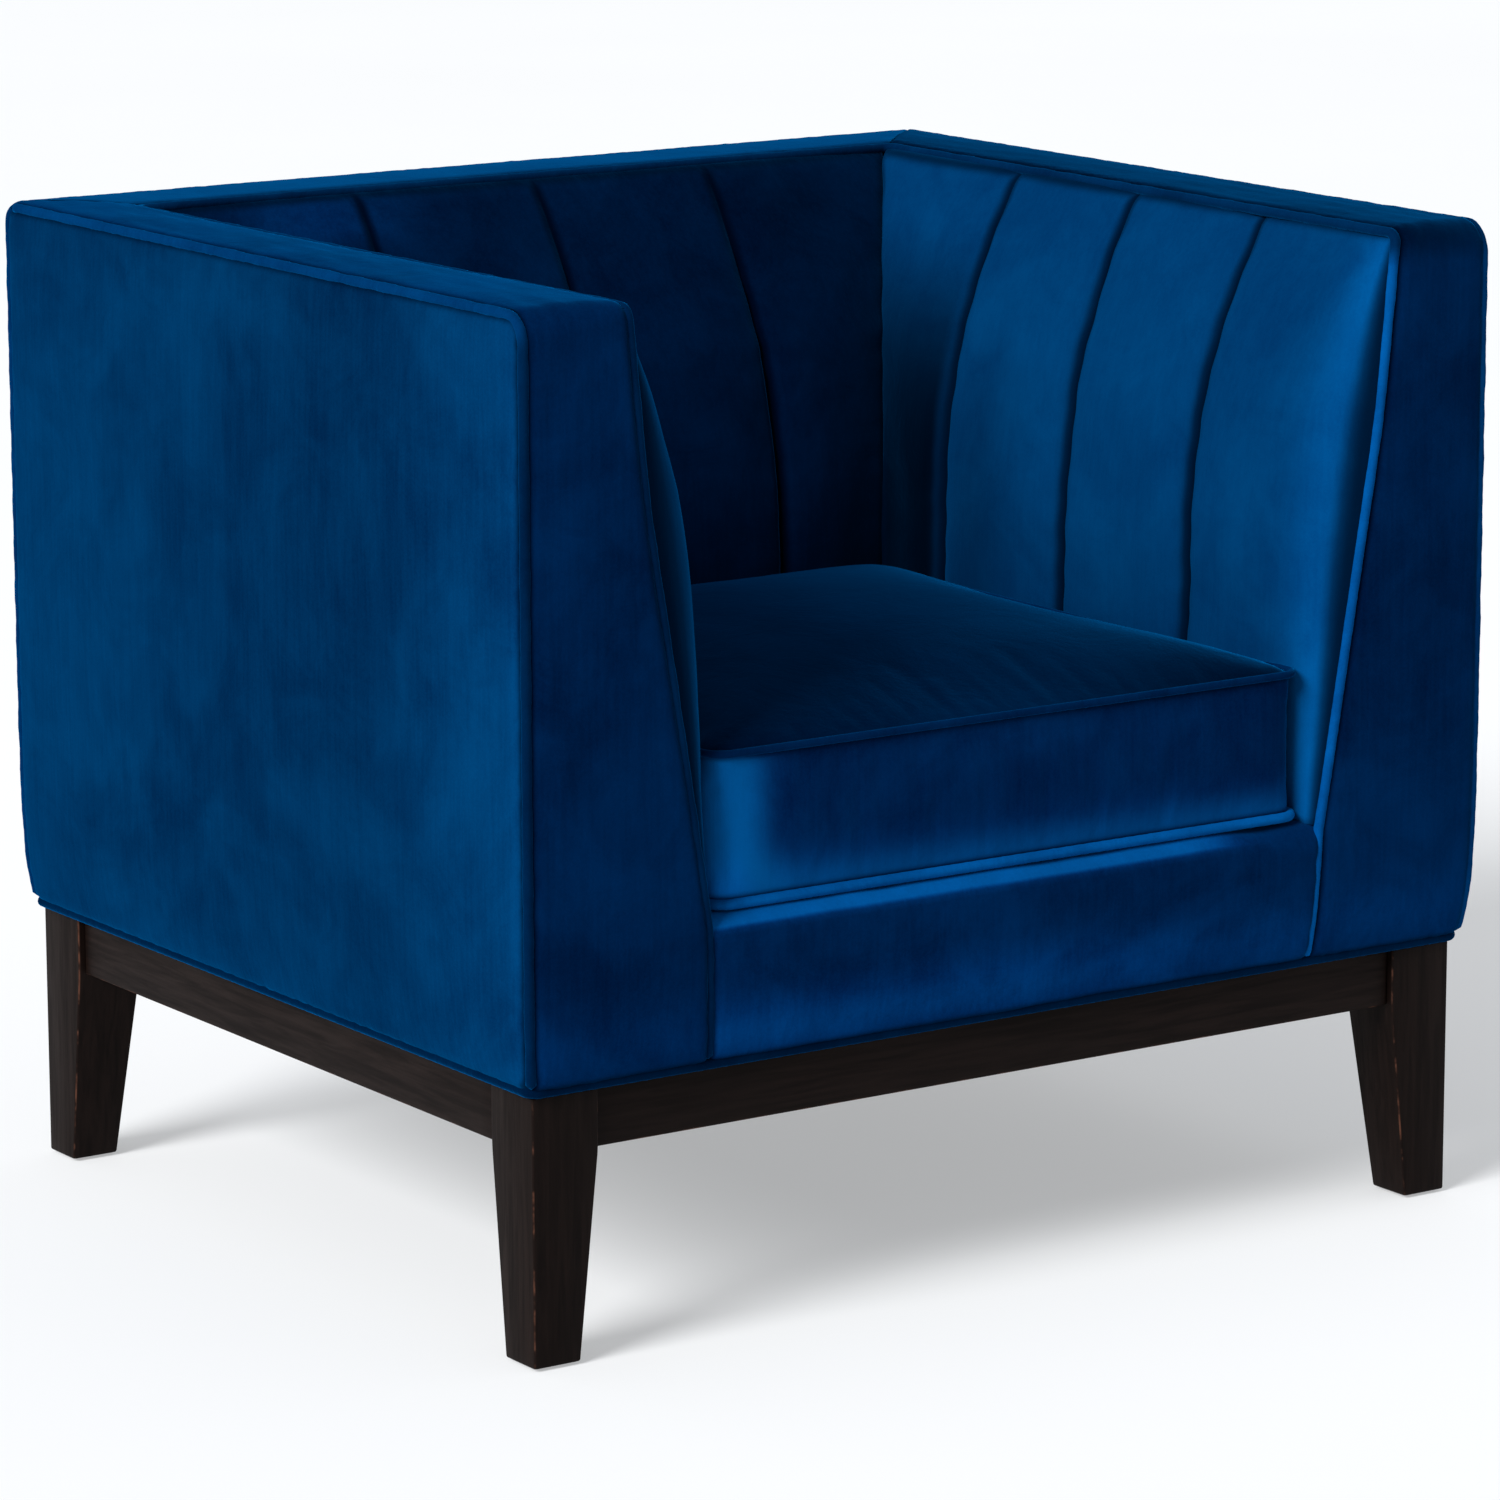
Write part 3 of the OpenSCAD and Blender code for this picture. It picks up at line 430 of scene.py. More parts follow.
soft = {}
side_ends = [(-1, 1, TOP_BEND), (1, 1, REAR_BEND), (-1, -1, FOOT_BEND), (1, -1, FOOT_BEND)]
for side, word in ((-1, "left"), (1, "right")):
    soft["outside_arm_" + word] = panel(
        "outside_arm_" + word + "_velvet", side_place(side), WELT_Y, 11 + side, side_ends, 5 * MM,
        painted_front_light)
rear_ends = [(-1, 1, REAR_BEND), (1, 1, REAR_BEND), (-1, -1, FOOT_BEND), (1, -1, FOOT_BEND)]
soft["outside_back"] = panel(
    "outside_back_velvet",
    lambda a, b, h: np.stack([a, HALF_D + h, MID_Z + b], -1),
    WELT_X, 31, rear_ends, 3.5 * MM, evenly)
print("panels", [o.name for o in soft.values()])

# %% [markdown]
# ## Arm fronts and tops
#
# One long strip, called a boxing, runs up the front of each arm and back along its top. It is
# wide at the seat and narrow at the top because its inner edge slants. The strip is drawn by
# two parameters: s across it, from the inner cord to the outer one, and t along it, up the
# front, round a soft fold and back to the mitre with the top of the back.

# %% The boxing of an arm
SEAT_WELT_X = FACE_IN + WELT_IN
SLANT = ARM_IN - FACE_IN                      # how far the inner cord slants out up the front
TOP_BOW = 12 * MM                             # how much steeper padding makes it near the top
TOP_WELT_X = SEAT_WELT_X + SLANT * (WELT_Z - SEAT_DECK) / (TOP - SEAT_DECK) - TOP_BOW
CORNER_WELT_X = ARM_IN + WELT_IN
CORNER_WELT_Y = BACK_IN + WELT_IN
INNER_BEND = 8 * MM
STRIP_UNDER = 10.5 * MM                       # how far a strip's back lies below its face line
STRIP_WIDE = 75 * MM                          # a strip's usual width, to space the rows beside its seams
FRONT_TALL = 0.5                              # about an arm front's height, for the same use


def inner_edge(z):
    """Middle of the inner cord on the front of the +X arm, at height z: a slanting line that
    bows inward with the square of the height above its middle."""
    rise = np.clip((z - SEAT_DECK) / (WELT_Z - SEAT_DECK), 0, 1)
    bow = TOP_BOW * (np.clip(2 * rise - 1, 0, 1) ** 2 - rise)
    inward = 5 * MM * np.clip((SEAT_DECK - z) / (SEAT_DECK - BASE_TOP), 0, 1) ** 2
    return SEAT_WELT_X + (TOP_WELT_X - SEAT_WELT_X) * rise - inward - bow


def arm_boxing(name, side, seed):
    """The strip: front, quarter-round fold and top, each linear in s between the two cords. The
    cloth's height h is added along the strip's own outward direction."""
    s = graded(1.0, EDGE / STRIP_WIDE, 0.09)[None, :]
    bend = INNER_BEND + WELT_IN + (TOP_BEND - INNER_BEND) * s
    rows_front, rows_fold, rows_top = 62, 12, 84
    near_foot = EDGE / FRONT_TALL
    up = np.concatenate([near_foot, np.linspace(near_foot[-1], 1, rows_front)[1:]])[:, None]
    z = BASE_WELT_Z + up * (TOP - bend - BASE_WELT_Z)
    x = inner_edge(z) + (WELT_X - inner_edge(z)) * s
    front = np.stack([x, np.broadcast_to(-HALF_D, x.shape), z], -1)
    front_out = np.broadcast_to([0.0, -1.0, 0.0], front.shape)
    a = np.linspace(0, np.pi / 2, rows_fold + 2)[1:-1, None] + 0 * s
    x_fold = TOP_WELT_X + (WELT_X - TOP_WELT_X) * s + 0 * a
    fold = np.stack([x_fold, -HALF_D + bend - bend * np.cos(a), TOP - bend + bend * np.sin(a)], -1)
    fold_out = np.stack([0 * a, -np.cos(a), np.sin(a)], -1)
    back = 1 - np.concatenate([[0, 0.0012, 0.003, 0.006, 0.012], np.linspace(0.02, 1, rows_top)])
    back = back[::-1][:, None]
    y_from = -HALF_D + bend
    y_to = CORNER_WELT_Y + (WELT_Y - CORNER_WELT_Y) * s - 0.4 * MM
    y = y_from + (y_to - y_from) * back
    x_in = TOP_WELT_X + (CORNER_WELT_X - TOP_WELT_X) * smoothstep((y + HALF_D) / 0.5)
    x = x_in + (WELT_X - x_in) * s
    top = np.stack([x, y, np.broadcast_to(TOP, x.shape)], -1)
    top_out = np.broadcast_to([0.0, 0.0, 1.0], top.shape)
    base = np.concatenate([front, fold, top])
    out = np.concatenate([front_out, fold_out, top_out])
    width = np.linalg.norm(base[:, -1] - base[:, 0], axis=-1)[:, None]
    along = np.concatenate([[0], np.cumsum(np.linalg.norm(np.diff(base[:, 0], axis=0), axis=-1))])
    along = along[:, None] + 0 * s
    side_gap = np.minimum(s, 1 - s) * width
    on_front = base[..., 2] < TOP - 1 * MM
    rear_gap = np.maximum(y_to - base[..., 1], 0) + 1.0 * on_front
    h = tuck(side_gap) + tuck(along) + tuck(rear_gap, 1.6 * MM, 5 * MM)
    h = h + plump(np.minimum(side_gap, along), 2.6 * MM, 22 * MM)
    h = h + puckers(side_gap, along + 0.4 * s, seed, height=0.5 * MM)
    middle = np.clip(side_gap / 0.02, 0, 1)
    h = h + 0.5 * MM * smooth_noise(seed + 1, along, s * width, size=0.16) * middle
    h = h + 0.35 * MM * smooth_noise(seed + 2, along, 3 * s * width, size=0.05) * middle
    face = base + out * h[..., None]
    centre = base.mean(axis=1, keepdims=True)
    inset = 1 - 2 * UNDER_IN / np.maximum(width, 1e-6)
    under = centre + (base - centre) * inset[..., None] - out * STRIP_UNDER
    seam = np.minimum(np.minimum(side_gap, along), rear_gap * 2.5)
    for grid in (face, under):
        grid[..., 0] *= side
    # Painted light and shade: the top of the right arm painted darker and the face painted paler a little
    # above the foot.
    on_top = smoothstep((base[..., 2] - TOP + 0.03) / 0.03)
    low_glow = np.exp(-((base[..., 2] - BASE_TOP - 0.03) / 0.03) ** 2) * (1 - on_top)
    painted_light_and_shade = on_top * (0.0 if side < 0 else -1.6) + 0.6 * low_glow
    return slab(name, lean(face), lean(under), {"painted_seam_shade": painted_seam_shade(seam), "painted_light_and_shade": painted_light_and_shade})


for side, word in ((-1, "left"), (1, "right")):
    soft["boxing_" + word] = arm_boxing("arm_boxing_" + word, side, 41 + 5 * side)

# %% [markdown]
# ## Top of the back
#
# The same strip goes on across the back, mitred to the arms at both ends.

# %% The back's top strip
def back_boxing(name, seed):
    """Strip with s from the inner cord to the rear one and u along it; its half length grows
    evenly with s, so that both ends are mitred."""
    s = graded(1.0, EDGE / 0.068, 0.1)[None, :]
    u = graded(2.0, [0, 0.002, 0.006, 0.012, 0.02, 0.035], 0.02)[:, None] - 1
    reach = CORNER_WELT_X + (WELT_X - CORNER_WELT_X) * s - 0.4 * MM
    x = u * reach
    y = CORNER_WELT_Y + (WELT_Y - CORNER_WELT_Y) * s + 0 * u
    width = WELT_Y - CORNER_WELT_Y
    side_gap = np.minimum(s, 1 - s) * width + 0 * u
    end_gap = reach - np.abs(x)
    h = tuck(side_gap) + tuck(end_gap, 1.6 * MM, 5 * MM) + plump(side_gap, 2.6 * MM, 22 * MM)
    h = h + puckers(side_gap, x + 0.4 * s, seed, height=0.5 * MM)
    middle = np.clip(side_gap / 0.02, 0, 1)
    h = h + 0.5 * MM * smooth_noise(seed + 1, x, y, size=0.18) * middle
    face = np.stack([x, y, TOP + h], -1)
    mid = y.mean()
    under = np.stack([x * 0.985, mid + (y - mid) * 0.74, np.full_like(x, TOP - STRIP_UNDER)], -1)
    return slab(name, lean(face), lean(under), {"painted_seam_shade": painted_seam_shade(np.minimum(side_gap, end_gap * 2.5))})


soft["back_top"] = back_boxing("back_top_velvet", 61)

# %% [markdown]
# ## Front rail
#
# Below the cushion a plain strip covers the front rail: flat to the base piping, rounded over
# at the top, and stapled on the rail behind, where the cushion hides it.

# %% The front rail's cover
RAIL_ROUND = 19 * MM                          # radius of the rail's top edge
RAIL_FLAP = 30 * MM                           # cloth that runs back under the cushion
RAIL_HUMP = 5 * MM                            # how far the padding lifts the top edge


def rail_cover(name, seed):
    """Profile of face, quarter round and flap carried from one inner cord to the other; the
    cloth's height is added square to the profile."""
    face_high = SEAT_DECK - RAIL_ROUND - BASE_WELT_Z
    face_z = np.concatenate([EDGE, np.linspace(EDGE[-1], face_high, 12)[1:]])
    a = np.linspace(0, np.pi / 2, 10)[1:]
    flap = np.linspace(0, RAIL_FLAP, 7)[1:]
    y = np.concatenate([np.zeros(len(face_z)), RAIL_ROUND * (1 - np.cos(a)), RAIL_ROUND + flap])
    z = np.concatenate([
        BASE_WELT_Z + face_z,
        SEAT_DECK - RAIL_ROUND + RAIL_ROUND * np.sin(a),
        np.full(len(flap), SEAT_DECK)])
    out_y = np.concatenate([-np.ones(len(face_z)), -np.cos(a), np.zeros(len(flap))])
    out_z = np.concatenate([np.zeros(len(face_z)), np.sin(a), np.ones(len(flap))])
    along = np.concatenate([[0], np.cumsum(np.hypot(np.diff(y), np.diff(z)))])[None, :]
    u = (graded(2.0, EDGE / 0.27, 0.035) - 1)[:, None]
    edge = inner_edge(z)[None, :]
    x = u * edge
    gap = edge - np.abs(x)
    start = along[0, len(face_z) - 1]
    over = smoothstep((along - start - 4 * MM) / 0.014)
    flat = smoothstep((y[None, :] - RAIL_ROUND) / RAIL_FLAP)
    hump = RAIL_HUMP * smoothstep((along - start + 0.02) / 0.035) * (1 - flat)
    h = tuck(gap) * (1 - over) + tuck(along) + plump(np.minimum(gap, along), 2.2 * MM, 20 * MM)
    x = x + u * over * 7 * MM
    h = h + puckers(gap, along, seed, height=0.6 * MM)
    h = h + 0.55 * MM * smooth_noise(seed + 1, x, along + 0 * x, size=0.2)
    h = h + 0.3 * MM * smooth_noise(seed + 2, x, 2.5 * along + 0 * x, size=0.06)
    sag = -2.6 * MM * np.exp(-((x - 0.225) / 0.03) ** 2) * np.clip(along / 0.09, 0, 1) ** 2
    # Painted highlight: the rounded top edge painted pale from the round back over the flap, fading to the
    # right, and a glow painted low on the face.
    painted_rail_highlight = smoothstep((along - start - 8 * MM) / 0.006) * (1 - smoothstep((x - 0.14) / 0.1))
    low_glow = 1.0 * np.exp(-((along - 0.02) / 0.03) ** 2) * (1 - 0.5 * smoothstep(x / 0.2))
    painted_light_and_shade = 0.1 + 1.4 * low_glow + 2.4 * painted_rail_highlight
    face = np.stack([x + 0 * h, y - HALF_D + out_y * h, z + hump + out_z * (h + sag)], -1)
    under = np.stack([
        x * 0.965 + 0 * h, y - HALF_D - out_y * 9.5 * MM + 0 * h, z - out_z * 3.2 * MM + 0 * h], -1)
    edge_shade = painted_seam_shade(np.minimum(gap, along)) * (1 - over)
    return slab(name, lean(face), lean(under), {"painted_seam_shade": edge_shade, "painted_light_and_shade": painted_light_and_shade})


soft["front_rail_cover"] = rail_cover("front_rail_velvet", 71)
print("strips", [o.name for o in soft.values()])

# %% [markdown]
# ## Channelled inside pads
#
# The inside of each arm and of the back is foam under velvet that is stitched down in upright
# lines. Between two stitch lines the cloth swells into a channel, half an ellipse across. The
# pads curve forward from the top edge to the seat, and at the seat the channels are pressed
# level by the cushion, so there the stitch lines are sunk into the pad instead.

# %% Curves of the inside
MITRE_SLOPE = (BACK_SWELL - 6 * MM) / ARM_SWELL
NOSE = 34 * MM                                # depth of the rounding behind the front piping
RELIEF = 12 * MM                              # from a stitch line to the top of its channel
CHANNEL_ROWS = 20                             # grid cells across one channel
PAD_FOOT = low("inside_back", Z)
BOARD_REAR = low("seat_rail_front", Y)
PAD_REAR_X = low("back_post_right", X) - 2 * MM
PAD_REAR_Y = low("back_post_right", Y) - 2 * MM


def swell(z, power):
    """0 at the top edge and 1 from the seat down, along a quarter sine."""
    return np.sin(np.pi / 2 * np.clip((TOP - z) / (TOP - FLAT_Z), 0, 1) ** power)


def arm_x(z):
    """Inside of the +X arm at height z: its top edge less the swell."""
    return ARM_IN - ARM_SWELL * swell(z, 0.86)


def back_y(z):
    """Inside of the back at height z: its top edge less the swell."""
    return BACK_IN - BACK_SWELL * swell(z, 0.92)


def mitre_y(x):
    """Upright plane on which an arm pad and the back pad meet."""
    return BACK_IN + 6 * MM - (ARM_IN - x) * MITRE_SLOPE


def across_channel():
    """0 to 1 by the half cosine, so places crowd together at both stitch lines."""
    return (1 - np.cos(np.linspace(0, np.pi, CHANNEL_ROWS + 1))) / 2


def channels(edges):
    """Places across all channels, close together at the stitch lines, for every height."""
    part = across_channel()
    runs = []
    for k in range(len(edges) - 1):
        span = edges[k] + (edges[k + 1] - edges[k]) * part[:, None]
        runs.append(span if k == 0 else span[1:])
    return np.concatenate(runs)


def channel_share(count):
    """0 on the stitch lines, 1 in the middle of a channel: the half ellipse."""
    part = across_channel()
    one = 2 * np.sqrt(part * (1 - part))
    return np.concatenate([one] + [one[1:]] * (count - 1))[:, None]


def relief(z, share, top_share, fade, sunk):
    """How far the cloth stands in from the plain pad: out over channels, in at stitches."""
    depth = RELIEF * (top_share + (1 - top_share) * smoothstep((TOP - z) / fade))
    stand = np.minimum(CHANNEL_CROWN * np.clip((z - FLAT_Z - 35 * MM) / (150 * MM), 0, 1), depth)
    return stand * share - (depth - stand) * (1 - share) * sunk


def below_cord():
    """Distances down from the top cord to the foot of a pad, close together at the cord."""
    return np.concatenate([EDGE, np.linspace(EDGE[-1], WELT_Z - PAD_FOOT, 66)[1:]])


def inside_arm(name, side, seed):
    """Arm pad: the swell of arm_x, less the channels' relief and the stitches' narrow bell
    curves, eased along a quarter circle to the inner cord at the front."""
    drop = below_cord()
    z = (WELT_Z - drop)[None, :]
    edges = [0 * z - WELT_Y]
    edges += [0 * z - HALF_D + ARM_CHANNEL * k for k in (1, 2, 3)]
    edges += [mitre_y(arm_x(z)) - 0.3 * MM]
    y = channels(edges)
    share = channel_share(4)
    stitch = np.min([np.abs(y - e) for e in edges[1:-1]], axis=0)
    to_mitre = edges[-1] - y
    t = np.clip((y + WELT_Y) / NOSE, 0, 1)
    ease = np.sqrt(1 - (1 - t) ** 2)
    inward = relief(z, share, 0.45, 70 * MM, np.clip(to_mitre / 0.03, 0, 1) * t)
    inward = inward - 3.4 * MM * np.exp(-(stitch / 2.8 / MM) ** 2) * smoothstep((TOP - z) / 0.09)
    inward = inward + 0.9 * MM * smooth_noise(seed, y, z + 0 * y, size=0.17) * ease
    inward = inward + 0.35 * MM * smooth_noise(seed + 1, y, 0.35 * z + 0 * y, size=0.035) * ease
    gather = puckers(np.minimum(stitch, to_mitre), z + 0 * y, seed + 2, 26 * MM, 0.7 * MM, 16 * MM)
    gather = gather + puckers(drop + 0 * y, y, seed + 3, 24 * MM, 0.7 * MM, 16 * MM)
    cord_gap = CORNER_WELT_X - arm_x(WELT_Z)
    x = inner_edge(z) + (arm_x(z) - inner_edge(z)) * ease
    x = x - inward - gather * ease - tuck(drop + 0 * y, cord_gap, 11 * MM) * ease
    face = np.stack([x, y, z + 0 * y], -1)
    behind = y > BOARD_REAR
    rear_x = np.where(behind, PAD_REAR_X, inner_edge(z) + 1.6 * MM)
    share_y = (y - BOARD_REAR) / (edges[-1] - BOARD_REAR)
    rear_y = np.where(behind, BOARD_REAR + share_y * (PAD_REAR_Y - BOARD_REAR), y)
    under = np.stack([np.maximum(rear_x, x + 1 * MM), rear_y, z + 0 * y], -1)
    seam = np.minimum(np.minimum(stitch, to_mitre), np.minimum(drop + 0 * y, y + WELT_Y))
    # Painted shade in the seams and along the stitch lines.
    stitched = painted_seam_shade(stitch, 7.5 * MM) * smoothstep((TOP - z) / 0.12)
    deep = np.maximum(painted_seam_shade(seam, 6 * MM), stitched)
    # Painted light and shade: the rearmost channel painted dark low down like a cast shadow, more shade low
    # in the channel before it, the cloth behind the nose painted paler, and the whole left pad painted
    # darker.
    rearmost = smoothstep((y - edges[3] - 2 * MM) / 0.012)
    lower = smoothstep((0.7 - z) / 0.2)
    nose = np.exp(-((y + WELT_Y) / 0.028) ** 2)
    painted_light_and_shade = 0.08 - 4.2 * rearmost * lower + 0.9 * nose
    painted_light_and_shade = painted_light_and_shade - 0.7 * lower**2 * np.exp(-((y - 0.06) / 0.05) ** 2) * (1 - rearmost)
    if side < 0:
        painted_light_and_shade = painted_light_and_shade - 0.9 - 0.6 * nose
    for grid in (face, under):
        grid[..., 0] *= side
    return slab(name, lean(face), lean(under), {"painted_seam_shade": deep, "painted_light_and_shade": painted_light_and_shade})


def inside_back(name, seed):
    """Back pad: the swell of back_y, less the channels' relief and the stitches' narrow bell
    curves; its outer channels bend with the square of the distance to meet the arms."""
    drop = below_cord()
    z = (WELT_Z - drop)[None, :]
    reach = arm_x(z)
    edges = [-reach, 0 * z - BACK_CHANNEL, 0 * z, 0 * z + BACK_CHANNEL, reach]
    x = channels(edges)
    share = channel_share(4)
    stitch = np.min([np.abs(x - e) for e in edges[1:-1]], axis=0)
    to_mitre = reach - np.abs(x)
    forward = relief(z, share, 0.06, 170 * MM, np.clip(to_mitre / 0.03, 0, 1))
    forward = forward - 1.8 * MM * np.exp(-(stitch / 2.4 / MM) ** 2) * smoothstep((TOP - z) / 0.12)
    forward = forward + 1.0 * MM * smooth_noise(seed, x, z + 0 * x, size=0.18)
    forward = forward + 0.35 * MM * smooth_noise(seed + 1, x, 0.35 * z + 0 * x, size=0.035)
    gather = puckers(np.minimum(stitch, to_mitre), z + 0 * x, seed + 2, 26 * MM, 0.7 * MM, 16 * MM)
    gather = gather + puckers(drop + 0 * x, x, seed + 3, 24 * MM, 0.7 * MM, 16 * MM)
    pull = (np.maximum(0, np.abs(x) - BACK_CHANNEL) / (reach - BACK_CHANNEL)) ** 2
    plain = back_y(z) + (mitre_y(reach) + 0.3 * MM - back_y(z)) * pull
    cord_gap = CORNER_WELT_Y - back_y(WELT_Z)
    y = plain - forward - gather - tuck(drop + 0 * x, cord_gap, 11 * MM)
    face = np.stack([x, y, z + 0 * x], -1)
    far = ARM_IN - (BACK_IN + 6 * MM - PAD_REAR_Y) / MITRE_SLOPE - 0.6 * MM
    under = np.stack([x / reach * far, PAD_REAR_Y + 0 * x, z + 0 * x], -1)
    seam = np.minimum(np.minimum(stitch, to_mitre), drop + 0 * x)
    # Painted light and shade: the pad painted darker overall, paler in a spot high on the left, and darker
    # still towards the right.
    painted_back_highlight = np.exp(-((x + 0.2) / 0.075) ** 2) * smoothstep((z - 0.685) / 0.03)
    painted_light_and_shade = -0.75 + 1.5 * painted_back_highlight - 0.5 * smoothstep((x - 0.1) / 0.12)
    return slab(name, lean(face), lean(under), {"painted_seam_shade": painted_seam_shade(seam, 6 * MM), "painted_light_and_shade": painted_light_and_shade})


for side, word in ((-1, "left"), (1, "right")):
    soft["inside_arm_" + word] = inside_arm("inside_arm_" + word + "_velvet", side, 81 + 6 * side)
soft["inside_back"] = inside_back("inside_back_velvet", 101)
print("pads reach down to", round(PAD_FOOT, 4))

# %% [markdown]
# ## The piping itself
#
# Four runs of piping hold the covers together: one round each arm's outside edge, one up each
# arm's inner edge and round the inside top, one round the outside back, and a thicker one
# round the bottom edge.

# %% Piping runs
SEAT_BEND = 70 * MM
FOOT = BASE_WELT_Z + 3 * MM
BASE_X = HALF_W - BASE_WELT_R
BASE_Y = HALF_D - BASE_WELT_R
BOW_Z = 0.60                                  # height where the inner cord's bow is widest


def mirrored(points):
    """The same points with x of the other sign, on the left side."""
    return [(-p[0], p[1], p[2]) for p in points]


arm_run = [(WELT_X, -WELT_Y, FOOT), (WELT_X, -WELT_Y, WELT_Z), (WELT_X, WELT_Y - 7 * MM, WELT_Z)]
inner_run = [
    (inner_edge(FOOT), -WELT_Y, FOOT),
    (SEAT_WELT_X, -WELT_Y, SEAT_DECK),
    (inner_edge(BOW_Z), -WELT_Y, BOW_Z),
    (TOP_WELT_X, -WELT_Y, WELT_Z),
    (CORNER_WELT_X, CORNER_WELT_Y, WELT_Z),
]
back_run = [(-WELT_X, WELT_Y, FOOT), (-WELT_X, WELT_Y, WELT_Z), (WELT_X, WELT_Y, WELT_Z),
            (WELT_X, WELT_Y, FOOT)]
base_run = [(-BASE_X, -BASE_Y, BASE_WELT_Z), (BASE_X, -BASE_Y, BASE_WELT_Z),
            (BASE_X, BASE_Y, BASE_WELT_Z), (-BASE_X, BASE_Y, BASE_WELT_Z)]
inner_bends = [SEAT_BEND, 900 * MM, INNER_BEND, 9 * MM]


def upright_share(path):
    """1 where a cord climbs the front, 0 where it lies along the top."""
    return 1 - smoothstep((path[:, 2] - WELT_Z + 25 * MM) / (20 * MM))


left_path = bent(mirrored(arm_run), [0, TOP_BEND, 0])
right_path = bent(arm_run, [0, TOP_BEND, 0])
inner_path = bent(mirrored(inner_run) + inner_run[::-1],
                  [0] + inner_bends + inner_bends[::-1] + [0])
# Painted light and shade for the cords: the upright runs painted paler on the right arm and darker on the
# left, the top runs of the inner cord and of the right outer cord darker, and the base cord darker all
# round.
inner_lift = -0.7 + upright_share(inner_path) * np.where(inner_path[:, 0] > 0, 2.2, -0.2)
soft["welt_left"] = tube("outer_welt_left", lean(left_path), WELT_R, seed=111,
                         painted_light_and_shade=0.1 - 1.1 * upright_share(left_path))
soft["welt_right"] = tube("outer_welt_right", lean(right_path), WELT_R, seed=112,
                          painted_light_and_shade=-0.8 + 1.1 * upright_share(right_path))
soft["inner_welt"] = tube("inner_welt_cord", lean(inner_path), WELT_R, seed=113, painted_light_and_shade=inner_lift)
soft["back_welt"] = tube(
    "back_welt_cord", lean(bent(back_run, [0, REAR_BEND, REAR_BEND, 0])), WELT_R, seed=114)
soft["base_welt"] = tube(
    "base_welt_cord", lean(bent(base_run, [7 * MM] * 4, closed=True)), BASE_WELT_R, closed=True,
    painted_light_and_shade=-1.6)
print("piping", [o.name for k, o in soft.items() if "welt" in k])

# %% [markdown]
# ## Seat cushion
#
# The loose cushion is a foam block in a velvet case: a top and a bottom panel, a border
# between them, and piping in both seams. A cushion's crown and its small drags come from cloth
# under tension, so it is blown up by the cloth solver: the case is cut as three grids that
# meet at the seams, the seams are pinned, and a little air pressure fills it. Then the cloth
# is held to what it touches: flat on the deck, and no wider than the gap between the arms. The
# seams keep a sharp fold when the mesh is made finer, so the piping lies snug against them.

# %% The case before it is filled
CUSHION_X = high("cushion_cover", X)
CUSHION_FRONT = low("cushion_cover", Y) - 5 * MM      # the filled front swells past its seam
CUSHION_REAR = high("cushion_cover", Y)
CUSHION_FOOT = low("cushion_cover", Z)
CUSHION_TOP = high("cushion_cover", Z)
WELT_OUT = (WELT_R - 0.5 * MM) / math.sqrt(2)         # the cord lies on the seam's diagonal
SEAM_LOW = CUSHION_FOOT + 12.5 * MM           # the lower seam rides up on the filling
SEAM_HIGH = high("cushion_welts", Z) - WELT_R - WELT_OUT
CUSHION_R = 14 * MM
CUSHION_MID = (CUSHION_FRONT + CUSHION_REAR) / 2
CUSHION_HALF = (CUSHION_REAR - CUSHION_FRONT) / 2
CLOTH_STEP = 6.5 * MM
FLARE = 5.5 * MM


def panel_grid():
    """Grid of places inside the top's outline, measured from the cushion's middle."""
    count = int(2 * CUSHION_X / CLOTH_STEP)
    a = np.linspace(-1, 1, count)
    x, y = np.meshgrid(a * CUSHION_X, a * CUSHION_HALF, indexing="ij")
    corners = [(sa, sb, CUSHION_R) for sa in (-1, 1) for sb in (-1, 1)]
    return rounded_corners(x, y, CUSHION_X, CUSHION_HALF, corners)


def flare(points):
    """Spreads the cushion's two front corners into the hollows beside the arms' noses: a shift
    of FLARE, times an S curve towards the front, times one towards the side."""
    p = np.array(points, float)
    corner = smoothstep((-p[..., 1] - 0.305) / 0.025) * smoothstep((np.abs(p[..., 0]) - 0.2) / 0.05)
    p[..., 0] += np.sign(p[..., 0]) * corner * FLARE
    return p


def cushion_case(name):
    """Closed case: top, bottom and border grids, welded where they share a seam. The top
    starts as an exponential crown, which the filling then tightens."""
    x, y = panel_grid()
    d = np.maximum(edge_distance(x, y, CUSHION_X, CUSHION_HALF, CUSHION_R), 0)
    top = np.stack([x, y + CUSHION_MID, SEAM_HIGH + plump(d, 28 * MM, 42 * MM)], -1)
    under = np.stack([x, y + CUSHION_MID, SEAM_LOW - plump(d, 7.4 * MM, 14 * MM)], -1)
    rows, cols = x.shape
    rim = rim_order(rows, cols)
    ring = top.reshape(-1, 3)[rim]
    levels = np.linspace(SEAM_LOW, SEAM_HIGH, 20)
    border = np.broadcast_to(ring, (len(levels), *ring.shape)).copy()
    border[..., 2] = levels[:, None]
    n = rows * cols
    points = np.concatenate([top.reshape(-1, 3), under.reshape(-1, 3), border.reshape(-1, 3)])
    quads = np.concatenate([
        grid_quads(rows, cols),
        grid_quads(rows, cols)[:, ::-1] + n,
        grid_quads(len(levels), len(rim), wrap_cols=True) + 2 * n,
    ])
    made = new_mesh(name, points, quads)
    work = bmesh.new()
    work.from_mesh(made.data)
    bmesh.ops.remove_doubles(work, verts=work.verts, dist=0.05 * MM)
    work.to_mesh(made.data)
    work.free()
    return facing_out(made)


